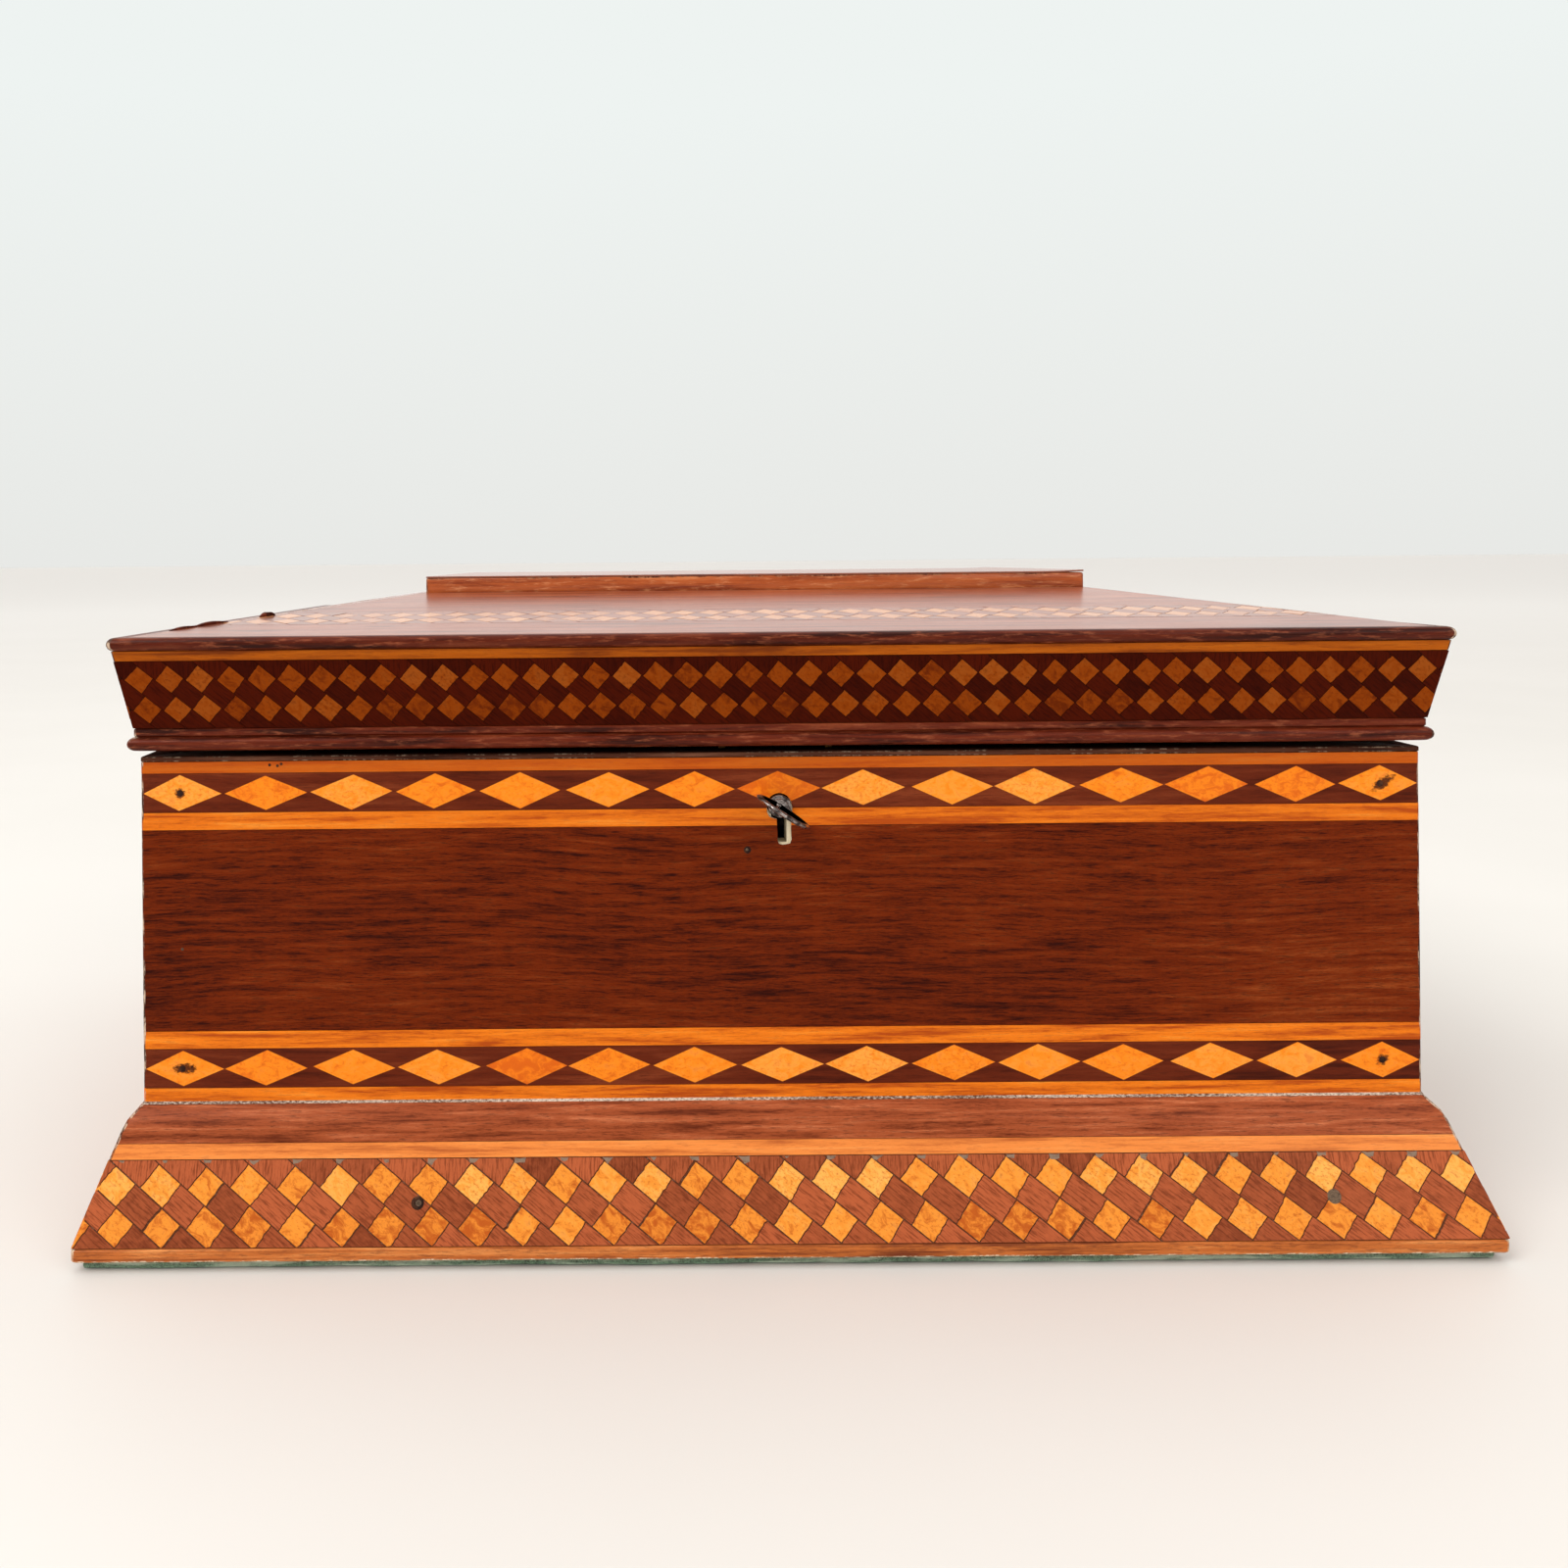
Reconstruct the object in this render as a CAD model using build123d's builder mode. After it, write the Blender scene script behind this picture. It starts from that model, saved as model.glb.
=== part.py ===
from build123d import *
from math import sqrt
import os

os.makedirs("parts", exist_ok=True)

# Every size is in millimetres. The origin is the middle of the underside,
# the front faces -Y and up is +Z. A flare is a distance out from the body's face.

# Body and plinth
body_width = 306.0
body_depth = 229.0
carcass_thickness = 11.0
veneer = 1.0
glue_line = 0.1
inlay_line = 0.08
baize_thickness = 2.5
baize_inset = 2.0
base_thickness = 8.0
corner_rebate = 5.5
plinth_edge_height = 3.0
plinth_slope_height = 25.3
plinth_shoulder_height = 3.5
plinth_flare = 12.9
plinth_shoulder_flare = 3.55
plinth_chequer_height = 18.0
plinth_string_height = 3.3

# Bands of the body, from the plinth up
foot_string_height = 3.7
lozenge_band_height = 9.4
field_string_height = 4.2
field_height = 48.2
top_string_height = 2.8
rim_thickness = 1.3
lozenge_length = 18.2
lozenge_height = 8.6
lozenge_pitch = 20.5
lozenge_end_inset = 9.5

# Lid, from the gap up
lid_gap = 1.2
bead_height = 3.6
bead_flare = 2.7
fillet_height = 2.1
fillet_flare = 1.3
frieze_chequer_height = 16.2
frieze_string_height = 2.5
frieze_flare = 5.8
cornice_height = 3.2
cornice_flare = 6.2
cornice_depth = 4.0
cornice_round = 1.5
moulding_depth = 4.0
roof_rise = 8.6
roof_edge_thickness = 5.8
roof_outer_veneer_width = 15.0
roof_chequer_width = 16.8
panel_inset = 60.4
panel_height = 5.0
panel_veneer = 0.9

# Lining of the case and the lid
lining_thickness = 0.6
lining_top_margin = 1.0

# Nails
least_inlay_share = 0.12
nail_radius = 0.7
nail_head_radius = 1.0
nail_head_depth = 1.0
nail_clearance = 0.05
corner_nail_length = 25.0
plinth_nail_reach = 8.0
plinth_nail_height = 11.9
plinth_nail_left_inset = 67.0
plinth_nail_right_inset = 26.0
plinth_side_nail_inset = 52.5

# Hinges
hinge_inset = 68.0
hinge_length = 32.0
hinge_axis_back = 0.5
hinge_leaf_depth = 11.5
hinge_pin_radius = 0.8
knuckle_gap = 0.3
knuckle_notch_gap = 0.35
running_gap = 0.08

# Screws
screw_radius = 1.1
screw_head_radius = 2.1
screw_length = 8.0
screw_clearance = 0.05
screw_slot = 0.5

# Lock and key
lock_half_width = 22.0
lock_height = 23.5
lock_depth = 5.5
lock_plate = 1.2
lock_cap_thickness = 0.8
lock_slack = 0.15
selvedge_ear = 6.0
selvedge_bearing = 1.0
lock_screw_inset = 2.8
key_drop = 12.9
keyhole_radius = 2.95
keyhole_slot_width = 3.7
keyhole_slot_drop = 9.0
drill_pin_radius = 1.0
key_bore_radius = 1.2
key_barrel_radius = 2.1
key_bit_radius = 8.0
key_bit_thickness = 1.8
key_turned = 58.0
bow_major_radius = 6.2
bow_minor_radius = 0.92
bow_standoff = 8.4
bolt_throw = 4.0
bolt_thickness = 1.4
staple_offset = 13.0
staple_thickness = 1.6
staple_width = 3.0
staple_bar = 0.6
staple_slot_play = 0.6
staple_slot_gap = 0.4
staple_drop = 6.6
staple_hole_height = 3.6
bolt_gap = 0.3
bolt_arm_height = 1.7
bolt_bridge_height = 2.4
bolt_leg_width = 2.2
bolt_rest_place = 16.0
bolt_rest_size = 2.4
tongue_height = 2.0
tongue_play = 0.4
talon_half_width = 7.0
spring_thickness = 0.3
spring_half_length = 9.0
drill_pin_length = 9.0
key_bore_length = 9.6
key_bit_width = 2.9
key_bit_root = 0.5
key_collar_radius = 2.7
key_collar_length = 1.0
key_collar_inset = 1.6

# Heights of the levels, from the table up
z_plinth = baize_thickness
z_slope = z_plinth + plinth_edge_height
z_shoulder = z_slope + plinth_slope_height
z_body = z_shoulder + plinth_shoulder_height
z_low_band = z_body + foot_string_height
z_low_string = z_low_band + lozenge_band_height
z_field = z_low_string + field_string_height
z_high_string = z_field + field_height
z_high_band = z_high_string + field_string_height
z_top_string = z_high_band + lozenge_band_height
z_rim = z_top_string + top_string_height
z_case_top = z_rim + rim_thickness
z_lid = z_case_top + lid_gap
z_fillet = z_lid + bead_height
z_frieze = z_fillet + fillet_height
z_frieze_string = z_frieze + frieze_chequer_height
z_cornice = z_frieze_string + frieze_string_height
z_roof = z_cornice + cornice_height
z_panel = z_roof + roof_rise
z_lid_top = z_panel + panel_height
z_floor = z_plinth + base_thickness
z_roof_board = z_roof - veneer - roof_edge_thickness

wall = carcass_thickness + veneer
inner_width = body_width - 2 * wall
inner_depth = body_depth - 2 * wall

# Sides

SIDES = ("front", "right", "back", "left")
side_turn = {"front": 0, "right": 90, "back": 180, "left": 270}


def half_run(side):
    """Half the body's length along a side."""
    return body_width / 2 if side in ("front", "back") else body_depth / 2


def reach(side):
    """Distance from the middle of the box to the body's face on a side."""
    return body_depth / 2 if side in ("front", "back") else body_width / 2


def turned(side, x, y, z):
    """A front-side direction or point, turned about Z to another side."""
    return Vector(x, y, z).rotate(Axis.Z, side_turn[side])


def section_plane(side):
    """Plane across a side's mouldings: X is outward from the middle, Y is up."""
    return Plane(origin=(0, 0, 0), x_dir=turned(side, 0, -1, 0), z_dir=turned(side, -1, 0, 0))


def mitre_plane(side, end):
    """Upright plane at 45 degrees through a corner of the body, half a glue line in."""
    away = turned(side, end, 1, 0).normalized()
    corner = turned(side, end * half_run(side), -reach(side), 0)
    return Plane(origin=corner - away * (glue_line / 2), z_dir=away)


def mitred_run(side, profile):
    """A moulding: a profile drawn as (flare, height), run along a side and mitred."""
    with BuildPart() as run:
        with BuildSketch(section_plane(side)):
            with Locations((reach(side), 0)):
                add(profile)
        extrude(amount=half_run(side) + 2 * plinth_flare, both=True)
        for end in (-1, 1):
            split(bisect_by=mitre_plane(side, end), keep=Keep.BOTTOM)
    return run.part


def outline(*points):
    """A flat profile with straight edges through (flare, height) points."""
    with BuildSketch() as profile:
        with BuildLine():
            Polyline(*points, close=True)
        make_face()
    return profile.sketch


def under(low, high, distance, depth):
    """The point a distance up the line low-high and a depth under its outer side."""
    line = Vector(high[0] - low[0], high[1] - low[1]).normalized()
    return (low[0] + line.X * distance - line.Y * depth, low[1] + line.Y * distance + line.X * depth)


def strip(low, high, start, end):
    """Profile of one veneer strip let into the surface low-high."""
    return outline(
        under(low, high, start, 0),
        under(low, high, end, 0),
        under(low, high, end, veneer),
        under(low, high, start, veneer),
    )


def band_plane(side, low, high):
    """Plane of a band's face: X along the side, Y from its low to its high edge."""
    across = reach(side) + (low[0] + high[0]) / 2
    middle = turned(side, 0, -across, (low[1] + high[1]) / 2)
    rise = turned(side, 0, low[0] - high[0], high[1] - low[1]).normalized()
    along = turned(side, 1, 0, 0)
    return Plane(origin=middle, x_dir=along, z_dir=along.cross(rise))


def slant(low, high):
    """Width of a band's face, measured up its slope."""
    return sqrt((high[0] - low[0]) ** 2 + (high[1] - low[1]) ** 2)


def inlays(side, low, high, shape, places):
    """One side's inlaid pieces: a flat shape at each place, a veneer thick, cut at the mitres."""
    with BuildPart() as pieces:
        with BuildSketch(band_plane(side, low, high)):
            with Locations(*places):
                add(shape)
        extrude(amount=-veneer)
        for end in (-1, 1):
            split(bisect_by=mitre_plane(side, end), keep=Keep.BOTTOM)
    least = least_inlay_share * shape.area * veneer
    return [piece for piece in pieces.part.solids() if piece.volume > least]


def inlay_ground(side, low, high, hole, places):
    """The wood round one side's inlaid pieces, mitred at the corners."""
    with BuildPart() as ground:
        with BuildSketch(band_plane(side, low, high)):
            Rectangle(2 * half_run(side) + 4 * plinth_flare, slant(low, high))
            with Locations(*places):
                add(hole, mode=Mode.SUBTRACT)
        extrude(amount=-veneer)
        for end in (-1, 1):
            split(bisect_by=mitre_plane(side, end), keep=Keep.BOTTOM)
    return ground.part.solids().sort_by(SortBy.VOLUME)[-1]


def lozenge_shape(length, height):
    """A lozenge with its long points to the left and right."""
    with BuildSketch() as lozenge:
        with BuildLine():
            Polyline((-length / 2, 0), (0, -height / 2), (length / 2, 0), (0, height / 2), close=True)
        make_face()
    return lozenge.sketch


def lozenge_places(side):
    """Centres of a band's lozenges: evenly spaced, from the end ones to one in the middle."""
    end_place = half_run(side) - lozenge_end_inset
    each_way = round(end_place / lozenge_pitch)
    return [(step * end_place / each_way, 0) for step in range(-each_way, each_way + 1)]


def ring(profile):
    """One profile run round all four sides."""
    return [mitred_run(side, profile) for side in SIDES]


def lozenge_band(z_low):
    """Ground pieces and lozenges of one band round the body."""
    low = (0, z_low)
    high = (0, z_low + lozenge_band_height)
    grounds = []
    lozenges = []
    for side in SIDES:
        hole = lozenge_shape(lozenge_length + 4 * inlay_line, lozenge_height + 2 * inlay_line)
        grounds.append(inlay_ground(side, low, high, hole, lozenge_places(side)))
        shape = lozenge_shape(lozenge_length, lozenge_height)
        lozenges.extend(inlays(side, low, high, shape, lozenge_places(side)))
    return grounds, lozenges


def flat_strip(z_low, z_high):
    """Profile of a veneer on the body's upright face."""
    return outline((-veneer, z_low), (0, z_low), (0, z_high), (-veneer, z_high))


def on_side(side, out, up):
    """Plane on a side, a distance outside the body's face, with +Z outward."""
    origin = turned(side, 0, -reach(side) - out, up)
    return Plane(origin=origin, x_dir=turned(side, 1, 0, 0), z_dir=turned(side, 0, -1, 0))


def nails(plane, places, length, grow=0.0):
    """Nails driven inward from a plane, each with a flat head just under the surface."""
    with BuildPart(plane) as group:
        with Locations(*places):
            Cylinder(
                nail_radius + grow,
                length + grow,
                align=(Align.CENTER, Align.CENTER, Align.MAX),
            )
            Cylinder(
                nail_head_radius + grow,
                nail_head_depth + grow,
                align=(Align.CENTER, Align.CENTER, Align.MAX),
            )
    return group.part


def screws(plane, places, grow=0.0):
    """Countersunk screws driven inward from a plane, with slotted heads."""
    cone_height = screw_head_radius - screw_radius
    with BuildPart(plane) as group:
        with Locations(*places):
            Cylinder(
                screw_radius + grow,
                screw_length + grow,
                align=(Align.CENTER, Align.CENTER, Align.MAX),
            )
            Cone(
                screw_radius + grow,
                screw_head_radius + grow,
                cone_height,
                align=(Align.CENTER, Align.CENTER, Align.MAX),
            )
            if grow == 0:
                Box(2 * screw_head_radius, screw_slot, 2 * screw_slot, mode=Mode.SUBTRACT)
    return group.part


# Nails through the end lozenges into the side walls' ends, and through the plinth
corner_nail_offset = body_width / 2 - lozenge_end_inset
low_band_middle = z_low_band + lozenge_band_height / 2
high_band_middle = z_high_band + lozenge_band_height / 2
corner_nail_places = [
    (end * corner_nail_offset, height) for end in (-1, 1) for height in (low_band_middle, high_band_middle)
]
z_plinth_nail = z_plinth + plinth_nail_height
plinth_nail_flare = (
    plinth_flare
    - (plinth_flare - plinth_shoulder_flare)
    * (z_plinth_nail + nail_head_radius + nail_clearance - z_slope)
    / plinth_slope_height
)


def case_nail_group(grow=0.0):
    """Every nail of the case, or with grow the holes that take them."""
    groups = []
    for side in ("front", "back"):
        face = on_side(side, 0, 0)
        groups.append(nails(face, corner_nail_places, corner_nail_length, grow))
    for side in SIDES:
        if side in ("front", "back"):
            places = (plinth_nail_left_inset - half_run(side), half_run(side) - plinth_nail_right_inset)
        else:
            places = (plinth_side_nail_inset - half_run(side), half_run(side) - plinth_side_nail_inset)
        spots = [(place, z_plinth_nail) for place in places]
        length = plinth_nail_flare + plinth_nail_reach
        groups.append(nails(on_side(side, plinth_nail_flare, 0), spots, length, grow))
    return groups


nail_holes = case_nail_group(nail_clearance)

# Keyhole and lock pocket, cut through whatever lies on the front
z_key = z_case_top - key_drop
front_face = Plane.XZ.offset(body_depth / 2)
y_inner_front = -inner_depth / 2
y_lock_front = y_inner_front - lock_depth
with BuildPart() as keyhole:
    with BuildSketch(front_face):
        with Locations((0, z_key)):
            Circle(keyhole_radius)
            Rectangle(keyhole_slot_width, keyhole_slot_drop, align=(Align.CENTER, Align.MAX))
    extrude(amount=-wall)

with BuildPart() as lock_pocket:
    with Locations((0, y_inner_front, z_case_top)):
        Box(
            2 * lock_half_width + 2 * lock_slack,
            2 * lock_depth,
            2 * (lock_height + lock_slack),
        )

# Selvedge recess and hinge recesses in the rim
selvedge_half_width = lock_half_width + selvedge_ear
selvedge_depth = lock_depth + selvedge_bearing
with BuildPart() as selvedge_recess:
    with Locations((0, y_inner_front, z_rim)):
        Box(
            2 * selvedge_half_width + 2 * lock_slack,
            2 * (selvedge_depth + lock_slack),
            2 * rim_thickness,
            align=(Align.CENTER, Align.CENTER, Align.MIN),
        )

hinge_offset = body_width / 2 - hinge_inset
y_hinge = body_depth / 2 + hinge_axis_back
z_hinge = z_case_top + lid_gap / 2
knuckle_radius = rim_thickness + lid_gap / 2 - running_gap
y_leaf_front = y_hinge - hinge_leaf_depth
with BuildPart() as hinge_recesses:
    with Locations((-hinge_offset, y_leaf_front - lock_slack), (hinge_offset, y_leaf_front - lock_slack)):
        with Locations((0, 0, z_rim)):
            Box(
                hinge_length + 2 * lock_slack,
                hinge_leaf_depth + 2 * plinth_flare,
                2 * rim_thickness + lid_gap,
                align=(Align.CENTER, Align.MIN, Align.MIN),
            )
        with Locations((0, y_hinge - knuckle_radius - knuckle_notch_gap - y_leaf_front + lock_slack, z_rim)):
            Box(
                hinge_length + 2 * lock_slack,
                hinge_leaf_depth,
                2 * rim_thickness + lid_gap + knuckle_notch_gap,
                align=(Align.CENTER, Align.MIN, Align.MIN),
            )

def hinge_screw_places(centre):
    """Three screws in a leaf, seen from above."""
    middle = y_leaf_front + (hinge_leaf_depth - knuckle_radius) / 2
    return [(centre + step * hinge_length / 3, middle) for step in (-1, 0, 1)]


case_screw_plane = Plane.XY.offset(z_case_top)
lid_screw_plane = Plane(origin=(0, 0, z_lid), x_dir=(1, 0, 0), z_dir=(0, 0, -1))
hinge_places = hinge_screw_places(-hinge_offset) + hinge_screw_places(hinge_offset)
hinge_lid_places = [(x, -y) for x, y in hinge_places]
case_hinge_screws = screws(case_screw_plane, hinge_places)
lid_hinge_screws = screws(lid_screw_plane, hinge_lid_places)
case_hinge_holes = screws(case_screw_plane, hinge_places, screw_clearance)
lid_hinge_holes = screws(lid_screw_plane, hinge_lid_places, screw_clearance)


# Lock screws through the selvedge's ears, link plate screws into the lid's front rail
y_works = y_inner_front - lock_plate - (lock_depth - lock_plate - lock_cap_thickness) / 2
lock_screw_places = [(end * (selvedge_half_width - lock_screw_inset), y_works) for end in (-1, 1)]
link_screw_places = [(end * (lock_half_width - lock_screw_inset), -y_works) for end in (-1, 1)]
lock_screw_group = screws(case_screw_plane, lock_screw_places)
link_screw_group = screws(lid_screw_plane, link_screw_places)
lock_screw_holes = screws(case_screw_plane, lock_screw_places, screw_clearance)
link_screw_holes = screws(lid_screw_plane, link_screw_places, screw_clearance)

# Base

with BuildPart() as base_board:
    with Locations((0, 0, z_plinth)):
        Box(
            body_width - 2 * veneer,
            body_depth - 2 * veneer,
            base_thickness,
            align=(Align.CENTER, Align.CENTER, Align.MIN),
        )

with BuildPart() as baize_pad:
    Box(
        body_width + 2 * plinth_flare - 2 * baize_inset,
        body_depth + 2 * plinth_flare - 2 * baize_inset,
        baize_thickness,
        align=(Align.CENTER, Align.CENTER, Align.MIN),
    )

# Plinth mouldings: a string on the edge, then chequer, string and bare wood up the slope
slope_low = (plinth_flare, z_slope)
slope_high = (plinth_shoulder_flare, z_shoulder)
slope_length = slant(slope_low, slope_high)
slope_per_rise = slope_length / plinth_slope_height
plinth_chequer_end = plinth_chequer_height * slope_per_rise
plinth_string_end = plinth_chequer_end + plinth_string_height * slope_per_rise
edge_flare = plinth_flare - veneer
z_edge_inner = z_slope - veneer * (plinth_flare - plinth_shoulder_flare) / plinth_slope_height
plinth_profile = outline(
    (-veneer, z_plinth),
    (edge_flare, z_plinth),
    (edge_flare, z_edge_inner),
    under(slope_low, slope_high, 0, veneer),
    under(slope_low, slope_high, plinth_string_end, veneer),
    under(slope_low, slope_high, plinth_string_end, 0),
    slope_high,
    (0, z_body),
    (-veneer, z_body),
)

with BuildPart() as plinth_front:
    add(mitred_run("front", plinth_profile))
    add(nail_holes, mode=Mode.SUBTRACT)

with BuildPart() as plinth_back:
    add(mitred_run("back", plinth_profile))
    add(nail_holes, mode=Mode.SUBTRACT)

with BuildPart() as plinth_left:
    add(mitred_run("left", plinth_profile))
    add(nail_holes, mode=Mode.SUBTRACT)

with BuildPart() as plinth_right:
    add(mitred_run("right", plinth_profile))
    add(nail_holes, mode=Mode.SUBTRACT)

with BuildPart() as plinth_edge_strings:
    add(ring(outline(
        (edge_flare, z_plinth),
        (plinth_flare, z_plinth),
        (plinth_flare, z_slope),
        (edge_flare, z_edge_inner),
    )))

with BuildPart() as plinth_slope_strings:
    add(ring(strip(slope_low, slope_high, plinth_chequer_end, plinth_string_end)))

with BuildPart() as plinth_chequer_bands:
    add(ring(strip(slope_low, slope_high, 0, plinth_chequer_end)))
    add(nail_holes, mode=Mode.SUBTRACT)

with BuildPart() as case_nails:
    add(case_nail_group())

# Carcass walls: the front and back are rebated at their ends for the side walls
wall_middle_height = (z_floor + z_rim) / 2
wall_height = z_rim - z_floor
end_wall_length = inner_depth + 2 * corner_rebate

with BuildPart() as long_wall:
    with Locations((0, -(inner_depth + carcass_thickness) / 2, wall_middle_height)):
        Box(body_width - 2 * veneer, carcass_thickness, wall_height)
    with Locations(*[
        (end * (inner_width + carcass_thickness) / 2, -(inner_depth + corner_rebate) / 2, wall_middle_height)
        for end in (-1, 1)
    ]):
        Box(carcass_thickness, corner_rebate, wall_height, mode=Mode.SUBTRACT)

with BuildPart() as front_wall:
    add(long_wall.part)
    add(lock_pocket.part, mode=Mode.SUBTRACT)
    add(keyhole.part, mode=Mode.SUBTRACT)
    add(nail_holes, mode=Mode.SUBTRACT)
    add(lock_screw_holes, mode=Mode.SUBTRACT)

with BuildPart() as back_wall:
    add(long_wall.part, rotation=(0, 0, 180))
    add(nail_holes, mode=Mode.SUBTRACT)
    add(case_hinge_holes, mode=Mode.SUBTRACT)

with BuildPart() as left_wall:
    with Locations((-(inner_width + carcass_thickness) / 2, 0, wall_middle_height)):
        Box(carcass_thickness, end_wall_length, wall_height)
    add(nail_holes, mode=Mode.SUBTRACT)

with BuildPart() as right_wall:
    with Locations(((inner_width + carcass_thickness) / 2, 0, wall_middle_height)):
        Box(carcass_thickness, end_wall_length, wall_height)
    add(nail_holes, mode=Mode.SUBTRACT)

# Veneers and inlay of the body
field_profile = flat_strip(z_field, z_high_string)

with BuildPart() as front_field_veneer:
    add(mitred_run("front", field_profile))
    add(keyhole.part, mode=Mode.SUBTRACT)

with BuildPart() as back_field_veneer:
    add(mitred_run("back", field_profile))

with BuildPart() as left_field_veneer:
    add(mitred_run("left", field_profile))

with BuildPart() as right_field_veneer:
    add(mitred_run("right", field_profile))

with BuildPart() as body_strings:
    add(ring(flat_strip(z_body, z_low_band)))
    add(ring(flat_strip(z_low_string, z_field)))
    add(ring(flat_strip(z_high_string, z_high_band)))
    add(ring(flat_strip(z_top_string, z_rim)))
    add(keyhole.part, mode=Mode.SUBTRACT)

low_grounds, low_lozenges = lozenge_band(z_low_band)
high_grounds, high_lozenges = lozenge_band(z_high_band)

with BuildPart() as lozenge_band_grounds:
    add(low_grounds + high_grounds)
    add(keyhole.part, mode=Mode.SUBTRACT)

with BuildPart() as lower_lozenges:
    add(low_lozenges)
    add(nail_holes, mode=Mode.SUBTRACT)

with BuildPart() as upper_lozenges:
    add(high_lozenges)
    add(keyhole.part, mode=Mode.SUBTRACT)
    add(nail_holes, mode=Mode.SUBTRACT)

with BuildPart() as rim_veneers:
    add(ring(outline((-wall, z_rim), (0, z_rim), (0, z_case_top), (-wall, z_case_top))))
    add(selvedge_recess.part, mode=Mode.SUBTRACT)
    add(hinge_recesses.part, mode=Mode.SUBTRACT)

# Linings: thin sheets on the floor and the walls, cut out round the lock
lining_low = z_floor + lining_thickness
lining_high = z_case_top - lining_top_margin - rim_thickness

with BuildPart() as case_lining:
    add(ring(outline(
        (-wall - lining_thickness, lining_low),
        (-wall, lining_low),
        (-wall, lining_high),
        (-wall - lining_thickness, lining_high),
    )))
    with Locations((0, 0, z_floor)):
        Box(
            inner_width,
            inner_depth,
            lining_thickness - inlay_line,
            align=(Align.CENTER, Align.CENTER, Align.MIN),
        )
    add(lock_pocket.part, mode=Mode.SUBTRACT)

# Hinges: two knuckles on the case leaf, one between them on the lid leaf
knuckle_length = (hinge_length - 2 * knuckle_gap) / 3
outer_knuckles = [end * (knuckle_length + knuckle_gap) for end in (-1, 1)]


def hinge_leaf(centre, z_bottom, knuckle_places, bare_places):
    """A leaf with its knuckles, cut back where the other leaf's knuckles turn."""
    with BuildPart() as leaf:
        with Locations((centre, y_leaf_front, z_bottom)):
            Box(
                hinge_length,
                hinge_leaf_depth,
                rim_thickness,
                align=(Align.CENTER, Align.MIN, Align.MIN),
            )
        with Locations(*[(centre + place, y_hinge, z_hinge) for place in bare_places]):
            Box(
                knuckle_length + 2 * knuckle_gap,
                2 * (knuckle_radius + knuckle_gap),
                2 * (knuckle_radius + knuckle_gap),
                mode=Mode.SUBTRACT,
            )
        with Locations(*[(centre + place, y_hinge, z_hinge) for place in knuckle_places]):
            Cylinder(knuckle_radius, knuckle_length, rotation=(0, 90, 0))
        with Locations((centre, y_hinge, z_hinge)):
            Cylinder(
                hinge_pin_radius + running_gap,
                2 * hinge_length,
                rotation=(0, 90, 0),
                mode=Mode.SUBTRACT,
            )
    return leaf.part


with BuildPart() as left_hinge_case_leaf:
    add(hinge_leaf(-hinge_offset, z_rim, outer_knuckles, [0]))
    add(case_hinge_holes, mode=Mode.SUBTRACT)

with BuildPart() as right_hinge_case_leaf:
    add(hinge_leaf(hinge_offset, z_rim, outer_knuckles, [0]))
    add(case_hinge_holes, mode=Mode.SUBTRACT)

with BuildPart() as left_hinge_lid_leaf:
    add(hinge_leaf(-hinge_offset, z_lid, [0], outer_knuckles))
    add(lid_hinge_holes, mode=Mode.SUBTRACT)

with BuildPart() as right_hinge_lid_leaf:
    add(hinge_leaf(hinge_offset, z_lid, [0], outer_knuckles))
    add(lid_hinge_holes, mode=Mode.SUBTRACT)

with BuildPart() as left_hinge_pin:
    with Locations((-hinge_offset, y_hinge, z_hinge)):
        Cylinder(hinge_pin_radius, hinge_length, rotation=(0, 90, 0))

with BuildPart() as right_hinge_pin:
    with Locations((hinge_offset, y_hinge, z_hinge)):
        Cylinder(hinge_pin_radius, hinge_length, rotation=(0, 90, 0))

with BuildPart() as hinge_case_screws:
    add(case_hinge_screws)

with BuildPart() as hinge_lid_screws:
    add(lid_hinge_screws)

# Lock: a back plate and selvedge with walls, closed by a cap, let into the front wall
z_lock_bottom = z_case_top - lock_height
y_plate_front = y_inner_front - lock_plate
y_cap_back = y_lock_front + lock_cap_thickness
z_bit_tip = z_key + key_bit_radius
z_staple_bottom = z_key + staple_drop
z_arm_top = z_staple_bottom - bolt_gap
z_arm_bottom = z_arm_top - bolt_arm_height
slot_length = staple_thickness + 2 * staple_slot_play
slot_width = staple_width + 2 * staple_slot_gap

with BuildPart() as lock_case:
    with Locations((0, y_cap_back, z_lock_bottom)):
        Box(
            2 * lock_half_width,
            lock_depth - lock_cap_thickness,
            lock_height - rim_thickness,
            align=(Align.CENTER, Align.MIN, Align.MIN),
        )
    with Locations((0, y_cap_back, z_lock_bottom + lock_plate)):
        Box(
            2 * lock_half_width - 2 * lock_plate,
            y_plate_front - y_cap_back,
            lock_height,
            align=(Align.CENTER, Align.MIN, Align.MIN),
            mode=Mode.SUBTRACT,
        )
    with Locations((0, y_inner_front, z_rim)):
        Box(
            2 * selvedge_half_width,
            selvedge_depth,
            rim_thickness,
            align=(Align.CENTER, Align.MAX, Align.MIN),
        )
    with Locations((bolt_rest_place, y_plate_front, z_arm_bottom - bolt_gap)):
        Box(
            bolt_rest_size,
            bolt_thickness + lock_plate,
            bolt_rest_size,
            align=(Align.CENTER, Align.MAX, Align.MAX),
        )
    with Locations(*[(end * staple_offset, y_works, z_rim) for end in (-1, 1)]):
        Box(slot_length, slot_width, 2 * rim_thickness, mode=Mode.SUBTRACT)
    add(lock_screw_holes, mode=Mode.SUBTRACT)

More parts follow.
